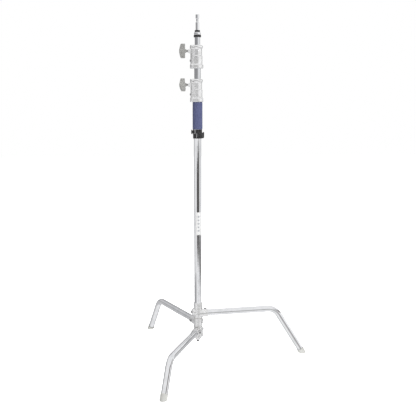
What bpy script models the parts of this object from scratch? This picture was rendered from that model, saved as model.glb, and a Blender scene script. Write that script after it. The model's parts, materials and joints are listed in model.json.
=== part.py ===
"""A C-stand: bent three-leg base, chrome column, two sliding risers and a 16 mm stud.

Metres, +Z up. The stand rests on Z = 0, its top leg points along +X, and the origin is the
middle of its footprint. The lock castings and their T-handles point along -X.
"""

import math

import bmesh
import bpy
from mathutils import Matrix, Vector

MM = 0.001
GAP = 0.3 * MM  # left between pieces that touch
ROUND = 24  # sides of a turned piece
SMALL_ROUND = 16
CRISP = math.radians(35)  # edges sharper than this stay crisp
OFF_GRID = math.radians(5)  # keeps a round helper's facet edges off those of its piece

# Base. Each leg's height is where its upper run's centreline meets the post's axis.
FOOT_REACH = 532 * MM
LEG_SPREAD = math.radians(113)
LEG_RISE = math.radians(1.3)
LEG_SLOPE = math.radians(58.2)
LEG_RADIUS = 15.5 * MM
LEG_WALL = 1.5 * MM
LEG_BEND = 64 * MM
LEG_BEND_STEPS = 7
LEG_SIDES = 16
LEG_ROOT = 21 * MM
TOP_LEG_HEIGHT = 227 * MM
LEG_PITCH = 44 * MM
FOOT_TALL = 25 * MM
FOOT_WALL = 1.7 * MM
FOOT_FLOOR = 16.7 * MM

# Hubs, measured from their leg's centreline.
HUB_RADIUS = 21 * MM
HUB_HALF = LEG_PITCH / 2
HUB_CHAMFER = 1.2 * MM
WASHER_THICK = 1.0 * MM
SOCKET_RADIUS = 20.4 * MM
SOCKET_SCREW_AT = 36 * MM
POST_RADIUS = 11.7 * MM
POST_TOP = 253 * MM
POST_THREAD_RADIUS = 8 * MM
LOW_HUB_BOTTOM = 109 * MM
SPRING_CAVITY_RADIUS = 17.5 * MM
SPRING_CAVITY_DEEP = 9 * MM
HUB_TOP = 280 * MM
HUB_STEP = 231 * MM  # the column stands on this step inside the top hub
CLAMP_BOSS_HEIGHT = 234 * MM

# Column, risers and stud.
COLUMN_RADIUS = 17.5 * MM
RISER_RADII = (15 * MM, 12.5 * MM)
TUBE_WALL = 1.5 * MM
COLUMN_COLLAR_BOTTOM = 1251 * MM
COLLAR_TALL = 106 * MM
COLLAR_STEP = 52 * MM  # from the collar's bottom to the end of the tube it is fixed on
RISER_SHOWING = (49 * MM, 36 * MM)
RISER_BOTTOMS = (336 * MM, 431 * MM)
BUSH_TALL = 30 * MM
BUSH_SPIGOT_TALL = 22 * MM
STUD_RADIUS = 8 * MM
STUD_SHOWING = 71.5 * MM
STUD_ROOT = 40 * MM
BUMPER_TALL = 10.5 * MM
STUD_COLLAR_TALL = 12.5 * MM
STUD_RING_TALL = 8.5 * MM

# Lock collars, in a frame at the collar's bottom.
BARREL_LOW = 22.8 * MM
BARREL_HIGH = 21 * MM
RIB_REACH = 31.7 * MM
RIB_HALF = 17 * MM
RIB_CORNER = 6 * MM
LOCK_HEIGHT = 79 * MM
COLLAR_BOLT_HEIGHT = 35 * MM
SHOE_RADIUS = 7 * MM
SHOE_POCKET_END = 24 * MM
LOCK_SCREW_RADIUS = 4 * MM
HANDLE_AT = 57 * MM
HANDLE_HALF = 32.5 * MM
HANDLE_DEEP = 27 * MM
HANDLE_THICK = 18 * MM
HANDLE_TURNS = (math.radians(40), 0.0)

# Sleeve, clip and label on the column.
SLEEVE_BOTTOM = 1123 * MM
SLEEVE_RADIUS = 23.4 * MM
CLIP_BOTTOM = 1080 * MM
CLIP_TALL = 42.5 * MM
CLIP_RADIUS = 21.6 * MM
CLIP_TURN = math.radians(-7.5)
LABEL_BOTTOM = 618 * MM
LABEL_TALL = 110 * MM
LABEL_TURN = math.radians(-82)
LABEL_HALF = math.radians(44)

COLLAR_BOTTOMS = (
    COLUMN_COLLAR_BOTTOM,
    COLUMN_COLLAR_BOTTOM + COLLAR_TALL + RISER_SHOWING[0],
)
STUD_BASE = COLLAR_BOTTOMS[1] + COLLAR_TALL + RISER_SHOWING[1]  # under the bumper ring
LEG_HEIGHTS = {
    "top_leg": TOP_LEG_HEIGHT,
    "middle_leg": TOP_LEG_HEIGHT - LEG_PITCH,
    "low_leg": TOP_LEG_HEIGHT - 2 * LEG_PITCH,
}
LEG_TURNS = {"top_leg": 0.0, "middle_leg": LEG_SPREAD, "low_leg": -LEG_SPREAD}
SOCKET_REACHES = {"top_leg": 47 * MM, "middle_leg": 58 * MM, "low_leg": 64 * MM}
# The fixing screw's side of each socket: on top of the top leg's, beside the others.
SCREW_TILTS = {
    "top_leg": (0.0, math.radians(-90), 0.0),
    "middle_leg": (math.radians(-90), 0.0, 0.0),
    "low_leg": (math.radians(-90), 0.0, 0.0),
}


# ---------------------------------------------------------------- scene and placing


def clear_scene():
    """Remove whatever the scene holds."""
    for item in list(bpy.data.objects):
        bpy.data.objects.remove(item, do_unlink=True)


def make_material(name, colour, roughness, metallic):
    """A plain Principled material."""
    material = bpy.data.materials.new(name)
    material.use_nodes = True
    shader = material.node_tree.nodes["Principled BSDF"]
    shader.inputs["Base Color"].default_value = (*colour, 1.0)
    shader.inputs["Roughness"].default_value = roughness
    shader.inputs["Metallic"].default_value = metallic
    return material


def make_materials():
    """The finishes of the stand, by name."""
    return {
        "chrome": make_material("chrome", (0.86, 0.87, 0.88), 0.08, 1.0),
        "cast_chrome": make_material("cast_chrome", (0.80, 0.80, 0.80), 0.18, 1.0),
        "cast_handle": make_material("cast_handle", (0.50, 0.50, 0.48), 0.35, 1.0),
        "steel": make_material("steel", (0.55, 0.55, 0.56), 0.30, 1.0),
        "dark_steel": make_material("dark_steel", (0.10, 0.10, 0.10), 0.40, 1.0),
        "blue_grip": make_material("blue_grip", (0.12, 0.13, 0.32), 0.60, 0.0),
        "black_plastic": make_material("black_plastic", (0.02, 0.02, 0.02), 0.45, 0.0),
        "grey_plastic": make_material("grey_plastic", (0.42, 0.42, 0.38), 0.60, 0.0),
        "nylon": make_material("nylon", (0.75, 0.73, 0.68), 0.50, 0.0),
        "bronze": make_material("bronze", (0.65, 0.45, 0.25), 0.35, 1.0),
        "label": make_material("label", (0.85, 0.85, 0.85), 0.50, 0.0),
    }


def empty(name, parent=None, location=(0.0, 0.0, 0.0), rotation=(0.0, 0.0, 0.0)):
    """An empty that carries the pieces of one place or one joint."""
    return place(name, None, None, parent, location, rotation)


def place(name, data, material, parent, location=(0.0, 0.0, 0.0), rotation=(0.0, 0.0, 0.0)):
    """An object of this mesh or curve, placed under its parent."""
    item = bpy.data.objects.new(name, data)
    bpy.context.scene.collection.objects.link(item)
    item.parent = parent
    item.location = location
    item.rotation_euler = rotation
    if material is not None:
        data.materials.append(material)
    return item


def combine(piece, operation, mesh, parent, location, rotation):
    """Join a hidden helper shape to a piece, or cut it out of the piece."""
    helper = place(mesh.name, mesh, None, parent, location, rotation)
    helper.hide_render = True
    helper.display_type = "WIRE"
    boolean = piece.modifiers.new(mesh.name, "BOOLEAN")
    boolean.operation = operation
    boolean.solver = "EXACT"
    boolean.object = helper


def join(piece, mesh, parent, location=(0, 0, 0), rotation=(0, 0, 0)):
    """Make a helper shape part of a piece."""
    combine(piece, "UNION", mesh, parent, location, rotation)


def cut(piece, mesh, parent, location=(0, 0, 0), rotation=(0, 0, 0)):
    """Cut a helper shape out of a piece."""
    combine(piece, "DIFFERENCE", mesh, parent, location, rotation)


def off_grid(mesh):
    """A round helper's mesh turned a little, so that its edges cross the piece's cleanly."""
    mesh.transform(Matrix.Rotation(OFF_GRID, 4, "Z"))
    return mesh


# ---------------------------------------------------------------- shapes


def finished(bm, name):
    """The mesh of a bmesh, closed, facing out and smooth where it is round."""
    bmesh.ops.remove_doubles(bm, verts=bm.verts, dist=0.001 * MM)
    bmesh.ops.recalc_face_normals(bm, faces=bm.faces)
    mesh = bpy.data.meshes.new(name)
    bm.to_mesh(mesh)
    bm.free()
    mesh.shade_smooth()
    mesh.set_sharp_from_angle(angle=CRISP)
    return mesh


def turned(name, outline, sides=ROUND):
    """A closed outline of (radius, height) points turned round Z."""
    bm = bmesh.new()
    points = [bm.verts.new((radius, 0.0, height)) for radius, height in outline]
    edges = [
        bm.edges.new(ends)
        for ends in zip(points, points[1:] + points[:1])
        if ends[0].co.x > 0.0 or ends[1].co.x > 0.0
    ]
    bmesh.ops.spin(
        bm,
        geom=points + edges,
        cent=(0.0, 0.0, 0.0),
        axis=(0.0, 0.0, 1.0),
        angle=math.tau,
        steps=sides,
        use_merge=True,
    )
    return finished(bm, name)


def rod(name, radius, bottom, top, sides=SMALL_ROUND):
    """A plain round bar along Z."""
    return turned(name, [(0.0, bottom), (radius, bottom), (radius, top), (0.0, top)], sides)


def ring(name, inner, outer, bottom, top, chamfer=0.0, sides=ROUND):
    """A round tube or ring along Z, with its outer edges chamfered."""
    outline = [(inner, bottom), (outer - chamfer, bottom), (outer, bottom + chamfer)]
    outline += [(outer, top - chamfer), (outer - chamfer, top), (inner, top)]
    if chamfer == 0.0:
        outline = [(inner, bottom), (outer, bottom), (outer, top), (inner, top)]
    return turned(name, outline, sides)


def box(name, low, high):
    """A block between two corners."""
    bm = bmesh.new()
    bmesh.ops.create_cube(bm, size=1.0)
    low, high = Vector(low), Vector(high)
    bmesh.ops.scale(bm, vec=high - low, verts=bm.verts)
    bmesh.ops.translate(bm, vec=(high + low) / 2, verts=bm.verts)
    return finished(bm, name)


def loft(name, sections, hollow=False):
    """A skin over rings of points with equal counts.

    A hollow skin's last ring joins its first one; a solid skin's end rings are filled.
    """
    bm = bmesh.new()
    rings = [[bm.verts.new(point) for point in section] for section in sections]
    count = len(rings[0])
    followers = rings[1:] + rings[:1] if hollow else rings[1:]
    for near, far in zip(rings, followers):
        for index in range(count):
            after = (index + 1) % count
            bm.faces.new((near[index], near[after], far[after], far[index]))
    if not hollow:
        bm.faces.new(rings[0])
        bm.faces.new(rings[-1])
    return finished(bm, name)


def prism(name, outline, half):
    """An outline of (x, z) points extruded to both sides of Y = 0."""
    sections = [[(x, y, z) for x, z in outline] for y in (-half, half)]
    return loft(name, sections)


def arc(centre, radius, start, end, steps):
    """Points on an arc from one angle to another, in radians."""
    turns = [start + (end - start) * step / steps for step in range(steps + 1)]
    return [
        (centre[0] + radius * math.cos(turn), centre[1] + radius * math.sin(turn))
        for turn in turns
    ]


# ---------------------------------------------------------------- small shared parts


def cap_screw(name, material, parent, shank, length, location, rotation=(0.0, 0.0, 0.0)):
    """A socket cap screw whose head stands on its parent's Z = 0 and points along +Z."""
    head = shank * 1.65
    tall = shank * 1.2
    outline = [(0.0, -length), (shank, -length), (shank, 0.0), (head, 0.0)]
    outline += [(head, tall * 0.85), (head * 0.92, tall), (0.0, tall)]
    screw = place(name, turned(name, outline, SMALL_ROUND), material, parent, location, rotation)
    recess = rod(name + "_recess", shank * 0.85, tall * 0.45, tall * 1.5, sides=6)
    cut(screw, off_grid(recess), screw)
    return screw


# ---------------------------------------------------------------- base


def leg_path(height):
    """A leg's centreline as (point, direction angle) pairs in its own XZ plane.

    The upper run climbs gently to the bend, and the lower run drops to the floor at
    FOOT_REACH. The floor is `height` below the leg's own origin.
    """
    foot_slope = math.tan(LEG_SLOPE)
    corner_run = (FOOT_REACH - height / foot_slope) / (
        math.cos(LEG_RISE) + math.sin(LEG_RISE) / foot_slope
    )
    rise = Vector((math.cos(LEG_RISE), 0.0, math.sin(LEG_RISE)))
    drop = Vector((math.cos(LEG_SLOPE), 0.0, -math.sin(LEG_SLOPE)))
    tangent = LEG_BEND * math.tan((LEG_RISE + LEG_SLOPE) / 2)
    bend_start = rise * (corner_run - tangent)
    centre = bend_start + Vector((math.sin(LEG_RISE), 0.0, -math.cos(LEG_RISE))) * LEG_BEND
    path = [(rise * (LEG_ROOT + GAP), LEG_RISE)]
    for step in range(LEG_BEND_STEPS + 1):
        turn = LEG_RISE - (LEG_RISE + LEG_SLOPE) * step / LEG_BEND_STEPS
        path.append((centre + Vector((-math.sin(turn), 0.0, math.cos(turn))) * LEG_BEND, turn))
    foot = Vector((FOOT_REACH, 0.0, -height))
    path.append((foot - drop * (FOOT_FLOOR + GAP), -LEG_SLOPE))
    return path


def leg_tube(name, height):
    """A bent, open-ended tube along the leg's centreline."""
    path = leg_path(height)

    def section(point, turn, radius):
        up = Vector((-math.sin(turn), 0.0, math.cos(turn)))
        side = Vector((0.0, 1.0, 0.0))
        turns = [math.tau * index / LEG_SIDES for index in range(LEG_SIDES)]
        return [point + (side * math.cos(t) + up * math.sin(t)) * radius for t in turns]

    outer = [section(point, turn, LEG_RADIUS) for point, turn in path]
    inner = [section(point, turn, LEG_RADIUS - LEG_WALL) for point, turn in reversed(path)]
    return loft(name, outer + inner, hollow=True)


def foot_cap(name):
    """A cup over the tube's end, cut level where it stands on the floor.

    Its Z runs up the leg, and its origin is where the leg's centreline meets the floor.
    """
    outer = LEG_RADIUS + GAP + FOOT_WALL
    inner = LEG_RADIUS + GAP
    lip = 1.0 * MM
    outline = [(0.0, -outer), (outer, -outer), (outer, FOOT_TALL - lip)]
    outline += [(outer - lip, FOOT_TALL), (inner, FOOT_TALL), (inner, FOOT_FLOOR)]
    outline += [(0.0, FOOT_FLOOR)]
    bm = bmesh.new()
    bm.from_mesh(turned(name, outline, sides=24))
    up = Vector((math.cos(LEG_SLOPE), 0.0, math.sin(LEG_SLOPE)))
    sliced = bmesh.ops.bisect_plane(
        bm,
        geom=list(bm.verts) + list(bm.edges) + list(bm.faces),
        plane_co=(0.0, 0.0, 0.0),
        plane_no=up,
        clear_inner=True,
    )
    rim = [item for item in sliced["geom_cut"] if isinstance(item, bmesh.types.BMEdge)]
    bmesh.ops.edgeloop_fill(bm, edges=rim)
    return finished(bm, name)


def hub_body(name, low, high, flared):
    """A hub's solid round body; a flared one has the bead round the column's foot."""
    outline = [(0.0, low), (HUB_RADIUS - HUB_CHAMFER, low), (HUB_RADIUS, low + HUB_CHAMFER)]
    if flared:
        bead = 22.3 * MM
        bead_low = high - 19 * MM
        outline += [(HUB_RADIUS, bead_low), (bead, bead_low + 2 * MM), (bead, high - 4 * MM)]
        outline += [(bead - 1.8 * MM, high - 0.8 * MM), (bead - 3 * MM, high), (0.0, high)]
    else:
        outline += [(HUB_RADIUS, high - HUB_CHAMFER), (HUB_RADIUS - HUB_CHAMFER, high)]
        outline += [(0.0, high)]
    return turned(name, outline)


def add_socket(hub, leg, frame):
    """The arm of a hub that holds its leg tube."""
    reach = SOCKET_REACHES[leg]
    lip = 1.6 * MM
    outline = [(0.0, 5 * MM), (SOCKET_RADIUS, 5 * MM), (SOCKET_RADIUS, reach - lip)]
    outline += [(SOCKET_RADIUS - lip, reach), (0.0, reach)]
    join(hub, off_grid(turned(leg + "_socket", outline)), frame)


def bore_socket(hub, leg, frame):
    """The leg tube's hole in the socket, and the hole for its fixing screw."""
    bore = rod(leg + "_socket_bore", LEG_RADIUS + GAP, LEG_ROOT, 2 * SOCKET_REACHES[leg], ROUND)
    cut(hub, bore, frame)
    hole = off_grid(rod(leg + "_screw_hole", 3 * MM + GAP, 10 * MM, 30 * MM))
    cut(hub, hole, frame, (0, 0, SOCKET_SCREW_AT), SCREW_TILTS[leg])


def build_leg_tube(leg, carrier, socket, materials):
    """The tube, its foot and the screw that fixes it in its hub."""
    height = LEG_HEIGHTS[leg]
    place(leg + "_tube", leg_tube(leg + "_tube", height), materials["chrome"], carrier)
    lean = LEG_SLOPE - math.radians(90)
    foot = foot_cap(leg + "_foot")
    at_floor = (FOOT_REACH, 0.0, -height)
    place(leg + "_foot", foot, materials["grey_plastic"], carrier, at_floor, (0, lean, 0))
    shank = 3 * MM
    screw_frame = empty(leg + "_screw_seat", socket, (0, 0, SOCKET_SCREW_AT), SCREW_TILTS[leg])
    length = SOCKET_RADIUS - LEG_RADIUS
    at_wall = (0, 0, SOCKET_RADIUS + GAP)
    cap_screw(leg + "_screw", materials["dark_steel"], screw_frame, shank, length, at_wall)


def leg_frames(leg, stand):
    """The empty on a leg's turning axis, and the one along its socket."""
    carrier = empty(leg, stand, (0, 0, LEG_HEIGHTS[leg]), (0, 0, LEG_TURNS[leg]))
    socket = empty(leg + "_socket_frame", carrier, (0, 0, 0), (0, math.radians(90) - LEG_RISE, 0))
    return carrier, socket


def seam(above):
    """Half of the washer between two hubs, with its running gap."""
    return WASHER_THICK / 2 + GAP if above else -(WASHER_THICK / 2 + GAP)


def build_top_leg(stand, materials):
    """The fixed top leg. Its hub also holds the column and the post."""
    leg = "top_leg"
    carrier, socket = leg_frames(leg, stand)
    high = HUB_TOP - TOP_LEG_HEIGHT
    low = -HUB_HALF + seam(above=True)
    hub_mesh = hub_body(leg + "_hub", low, high, flared=True)
    hub = place(leg + "_hub", hub_mesh, materials["cast_chrome"], carrier)
    add_socket(hub, leg, socket)

    clamp = empty("column_clamp", stand, (0, 0, CLAMP_BOSS_HEIGHT), (0, math.radians(-90), 0))
    boss_end = 29.5 * MM
    boss = [(0.0, 5 * MM), (18 * MM, 5 * MM), (18 * MM, 23 * MM), (13 * MM, boss_end)]
    boss += [(0.0, boss_end)]
    join(hub, off_grid(turned("column_clamp_boss", boss)), clamp)

    step = HUB_STEP - TOP_LEG_HEIGHT
    post_hole = POST_RADIUS + GAP
    column_hole = COLUMN_RADIUS + GAP
    bore = [(0.0, low - MM), (post_hole, low - MM), (post_hole, step), (column_hole, step)]
    bore += [(column_hole, high + MM), (0.0, high + MM)]
    cut(hub, off_grid(turned("top_leg_hub_bore", bore)), carrier)
    bore_socket(hub, leg, socket)
    bolt_shank = 4 * MM
    bolt_hole = rod("column_clamp_hole", bolt_shank + GAP, 12 * MM, 2 * boss_end)
    cut(hub, bolt_hole, clamp)
    length = boss_end - COLUMN_RADIUS - GAP
    at_boss = (0, 0, boss_end + GAP)
    bolt = "column_clamp_bolt"
    cap_screw(bolt, materials["dark_steel"], clamp, bolt_shank, length, at_boss)
    build_leg_tube(leg, carrier, socket, materials)


def build_middle_leg(stand, materials):
    """The middle leg, which turns on the post, with its release lever."""
    leg = "middle_leg"
    carrier, socket = leg_frames(leg, stand)
    low = -HUB_HALF + seam(above=True)
    high = HUB_HALF + seam(above=False)
    hub_mesh = hub_body(leg + "_hub", low, high, flared=False)
    hub = place(leg + "_hub", hub_mesh, materials["cast_chrome"], carrier)
    add_socket(hub, leg, socket)
    lever_turn = math.radians(-24) - LEG_SPREAD
    lever_height = 12 * MM
    seat = empty("release_lever_seat", carrier, (0, 0, lever_height), (0, 0, lever_turn))
    pivot = 22.5 * MM
    ears = box("lever_ears", (14 * MM, -5 * MM, -6 * MM), (25.8 * MM, 5 * MM, 5 * MM))
    join(hub, ears, seat)
    slot = box("lever_slot", (19.2 * MM, -2.6 * MM, -9 * MM), (31 * MM, 2.6 * MM, 6 * MM))
    cut(hub, slot, seat)
    pin_radius = 1.5 * MM
    along_y = (math.radians(90), 0, 0)
    pin_hole = rod("lever_pin_hole", pin_radius + GAP, -8 * MM, 8 * MM)
    cut(hub, off_grid(pin_hole), seat, (pivot, 0, 0), along_y)
    bore_socket(hub, leg, socket)
    bore = rod("middle_leg_hub_bore", POST_RADIUS + GAP, low - MM, high + MM, ROUND)
    cut(hub, off_grid(bore), carrier)
    pin = rod("lever_pin", pin_radius, -5.4 * MM, 5.4 * MM)
    place("lever_pin", pin, materials["steel"], seat, (pivot, 0, 0), along_y)
    build_lever(empty("release_lever_axis", seat, (pivot, 0, 0)), materials)
    build_leg_tube(leg, carrier, socket, materials)


def build_lever(axis, materials):
    """A short bent lever on its pin: a catch above, a finger tab below."""
    outline = [(-2.4 * MM, 3.2 * MM), (-2.4 * MM, -2.2 * MM), (0.2 * MM, -5.2 * MM)]
    outline += [(1.4 * MM, -9 * MM), (1.6 * MM, -18.6 * MM), (4.4 * MM, -19.2 * MM)]
    outline += [(5 * MM, -15 * MM), (3.6 * MM, -3 * MM), (2.6 * MM, 3.2 * MM)]
    mesh = prism("release_lever", outline, 2.2 * MM)
    lever = place("release_lever", mesh, materials["black_plastic"], axis)
    hole = rod("release_lever_hole", 1.8 * MM, -5 * MM, 5 * MM)
    cut(lever, off_grid(hole), axis, (0, 0, 0), (math.radians(90), 0, 0))


def build_low_leg(stand, materials):
    """The low leg, which turns on the post, with its release button and spring cavity."""
    leg = "low_leg"
    carrier, socket = leg_frames(leg, stand)
    low = LOW_HUB_BOTTOM - LEG_HEIGHTS[leg]
    high = HUB_HALF + seam(above=False)
    hub_mesh = hub_body(leg + "_hub", low, high, flared=False)
    hub = place(leg + "_hub", hub_mesh, materials["cast_chrome"], carrier)
    add_socket(hub, leg, socket)
    seat = empty("release_button_seat", carrier, (0, 0, 0), (0, 0, LEG_SPREAD - math.radians(20)))
    housing = turned(
        "button_housing",
        [(0, low), (6.5 * MM, low), (6.5 * MM, high - 3 * MM), (4.5 * MM, high), (0, high)],
        sides=20,
    )
    join(hub, off_grid(housing), seat, (19.5 * MM, 0, 0))
    bore = [(0, low - MM), (SPRING_CAVITY_RADIUS, low - MM)]
    bore += [(SPRING_CAVITY_RADIUS, low + SPRING_CAVITY_DEEP)]
    bore += [(POST_RADIUS + GAP, low + SPRING_CAVITY_DEEP)]
    bore += [(POST_RADIUS + GAP, high + MM), (0, high + MM)]
    bore_socket(hub, leg, socket)
    cut(hub, off_grid(turned("low_leg_hub_bore", bore)), carrier)
    button_radius = 3.2 * MM
    button_axis = empty("release_button_axis", seat, (0, 0, 9 * MM), (0, math.radians(90), 0))
    button_hole = rod("button_hole", button_radius + GAP, 17 * MM, 32 * MM)
    cut(hub, off_grid(button_hole), button_axis)
    outline = [(0, 20 * MM), (button_radius, 20 * MM), (button_radius, 28 * MM)]
    outline += [(button_radius - 0.8 * MM, 29 * MM), (0, 29 * MM)]
    button = turned("release_button", outline, SMALL_ROUND)
    place("release_button", button, materials["black_plastic"], button_axis)
    build_leg_tube(leg, carrier, socket, materials)


def spring_curve(name, radius, wire, bottom, top, turns):
    """A compression spring's wire as a round curve with filled ends."""
    curve = bpy.data.curves.new(name, "CURVE")
    curve.dimensions = "3D"
    curve.bevel_depth = wire
    curve.bevel_resolution = 1
    curve.use_fill_caps = True
    steps = 14 * turns
    spline = curve.splines.new("POLY")
    spline.points.add(steps)
    for step, point in enumerate(spline.points):
        turn = math.tau * turns * step / steps
        height = bottom + (top - bottom) * step / steps
        point.co = (radius * math.cos(turn), radius * math.sin(turn), height, 1.0)
    return curve


def build_post(stand, materials):
    """The post through the hubs and everything stacked on its foot."""
    thread_end = LOW_HUB_BOTTOM - 14 * MM
    outline = [(0, thread_end), (POST_THREAD_RADIUS, thread_end)]
    outline += [(POST_THREAD_RADIUS, LOW_HUB_BOTTOM), (POST_RADIUS, LOW_HUB_BOTTOM)]
    outline += [(POST_RADIUS, POST_TOP - MM), (POST_RADIUS - MM, POST_TOP), (0, POST_TOP)]
    place("base_post", turned("base_post", outline), materials["steel"], stand)

    for name, above in (("upper_washer", "middle_leg"), ("lower_washer", "low_leg")):
        middle = LEG_HEIGHTS[above] + HUB_HALF
        half = WASHER_THICK / 2
        washer = ring(name, POST_RADIUS + GAP, 18.5 * MM, middle - half, middle + half)
        place(name, washer, materials["nylon"], stand)

    wire = 1.1 * MM
    coil_radius = (POST_RADIUS + SPRING_CAVITY_RADIUS) / 2
    coil_low = LOW_HUB_BOTTOM + wire + GAP
    coil_high = LOW_HUB_BOTTOM + SPRING_CAVITY_DEEP - wire - GAP
    coil = spring_curve("leg_spring", coil_radius, wire, coil_low, coil_high, turns=2)
    place("leg_spring", coil, materials["steel"], stand)

    washer_top = LOW_HUB_BOTTOM - GAP
    washer_low = washer_top - 2 * MM
    thread_hole = POST_THREAD_RADIUS + GAP
    washer = ring("bottom_washer", thread_hole, 19.5 * MM, washer_low, washer_top, 0.6 * MM)
    place("bottom_washer", washer, materials["chrome"], stand)
    nut_top = washer_low - GAP
    nut_low = nut_top - 14 * MM
    outline = [(thread_hole, nut_low), (10 * MM, nut_low), (12.5 * MM, nut_low + 4 * MM)]
    outline += [(16.5 * MM, nut_top - 4 * MM), (16.5 * MM, nut_top), (thread_hole, nut_top)]
    nut = turned("bottom_nut", outline, sides=24)
    place("bottom_nut", nut, materials["cast_chrome"], stand)
    plug_top = nut_low - GAP
    plug = [(0, plug_top - 10.5 * MM), (3 * MM, plug_top - 10 * MM), (5.8 * MM, plug_top - 7 * MM)]
    plug += [(7 * MM, plug_top - 3 * MM), (7 * MM, plug_top), (0, plug_top)]
    place("end_plug", turned("end_plug", plug, sides=20), materials["black_plastic"], stand)


# ---------------------------------------------------------------- column and its fittings


def build_column(stand, materials):
    """The column tube, its label and its blue grip sleeve."""
    top = COLUMN_COLLAR_BOTTOM + COLLAR_STEP - GAP
    inner = COLUMN_RADIUS - TUBE_WALL
    tube = ring("column_tube", inner, COLUMN_RADIUS, HUB_STEP + GAP, top, 0.4 * MM)
    place("column_tube", tube, materials["chrome"], stand)

    low, high = LABEL_BOTTOM, LABEL_BOTTOM + LABEL_TALL
    near, far = COLUMN_RADIUS + GAP, COLUMN_RADIUS + 2 * GAP
    sections = []
    for step in range(13):
        turn = LABEL_TURN + LABEL_HALF * (step / 6 - 1)
        spot = [(near, low), (far, low), (far, high), (near, high)]
        sections.append([(r * math.cos(turn), r * math.sin(turn), z) for r, z in spot])
    place("column_label", loft("column_label", sections), materials["label"], stand)

    sleeve_top = COLUMN_COLLAR_BOTTOM - GAP
    lip = 2 * MM
    outline = [(COLUMN_RADIUS + GAP, SLEEVE_BOTTOM), (SLEEVE_RADIUS - lip, SLEEVE_BOTTOM)]
    outline += [(SLEEVE_RADIUS - lip / 3, SLEEVE_BOTTOM + lip / 3)]
    outline += [(SLEEVE_RADIUS, SLEEVE_BOTTOM + lip), (SLEEVE_RADIUS, sleeve_top - lip / 2)]
    outline += [(SLEEVE_RADIUS - lip / 2, sleeve_top), (COLUMN_RADIUS + GAP, sleeve_top)]
    place("grip_sleeve", turned("grip_sleeve", outline), materials["blue_grip"], stand)


def build_clip(stand, materials):
    """A black split collar that slides on the column, with a round knob and a hook."""
    frame = empty("column_clip", stand, (0, 0, CLIP_BOTTOM), (0, 0, CLIP_TURN))
    inner = COLUMN_RADIUS + GAP
    collar_mesh = ring("clip_collar", inner, CLIP_RADIUS, 0, CLIP_TALL, 1 * MM)
    collar = place("clip_collar", collar_mesh, materials["black_plastic"], frame)
    wide = 2 * CLIP_RADIUS
    bridge = 4 * MM
    slit = 0.9 * MM
    # (angle of the opening, half width, bottom, top): the split behind, the window beside
    # the knob and the two slits in front.
    openings = (
        ("clip_split", 82, 7 * MM, -MM, CLIP_TALL + MM),
        ("clip_window", -138, 6 * MM, 22 * MM, CLIP_TALL + MM),
        ("clip_slit_left", -103, slit, bridge, 24 * MM),
        ("clip_slit_right", -68, slit, bridge, CLIP_TALL + MM),
    )
    for name, degrees, half, low, high in openings:
        opening = box(name, (10 * MM, -half, low), (wide, half, high))
        cut(collar, opening, frame, (0, 0, 0), (0, 0, math.radians(degrees)))

    knob_height = 31 * MM
    knob_axis = empty("clip_knob_axis", frame, (0, 0, knob_height), (0, math.radians(-90), 0))
    stem_hole = rod("clip_knob_hole", 2.8 * MM, 10 * MM, wide)
    stem_boss = rod("clip_knob_boss", 5 * MM, 19 * MM, 23 * MM)
    join(collar, off_grid(stem_boss), knob_axis)
    cut(collar, stem_hole, knob_axis)
    knob = [(0, 18.2 * MM), (2.5 * MM, 18.2 * MM), (2.5 * MM, 23.3 * MM), (8 * MM, 23.3 * MM)]
    knob += [(11 * MM, 25.5 * MM), (11 * MM, 27.5 * MM), (8 * MM, 29.8 * MM), (0, 30.4 * MM)]
    knob_mesh = turned("clip_knob", knob, sides=24)
    place("clip_knob", knob_mesh, materials["black_plastic"], knob_axis)

    hook = [(CLIP_RADIUS + GAP, 1 * MM), (28 * MM, 1 * MM), (31 * MM, 6 * MM)]
    hook += [(31 * MM, 29 * MM), (27 * MM, 31 * MM), (25.5 * MM, 26 * MM)]
    hook += [(CLIP_RADIUS + GAP, 20 * MM)]
    hook_mesh = prism("clip_hook", hook, 6 * MM)
    place("clip_hook", hook_mesh, materials["black_plastic"], frame)


# ---------------------------------------------------------------- lock collars


def collar_outline(barrel, reach, half):
    """A round barrel with a rounded rib on its -X side, as (x, y) points."""
    crease = math.pi - math.asin(half / barrel)
    corner = reach - RIB_CORNER
    outline = arc((0.0, 0.0), barrel, -crease, crease, 18)
    outline += arc((-corner, half - RIB_CORNER), RIB_CORNER, math.pi / 2, math.pi, 3)
    outline += [(-reach, 0.0)]
    outline += arc((-corner, RIB_CORNER - half), RIB_CORNER, math.pi, 1.5 * math.pi, 3)
    return outline


def collar_section(barrel, proud, height):
    """One level of a collar's outside; `proud` is how far a bead or flange stands out."""
    outline = collar_outline(barrel + proud, RIB_REACH + proud / 2, RIB_HALF + proud / 2)
    return [(x, y, height) for x, y in outline]


def bore_section(radius, height):
    """A level of the bore, with its points beside the outline's."""
    around = [math.atan2(y, x) for x, y in collar_outline(BARREL_LOW, RIB_REACH, RIB_HALF)]
    return [(radius * math.cos(turn), radius * math.sin(turn), height) for turn in around]


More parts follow.
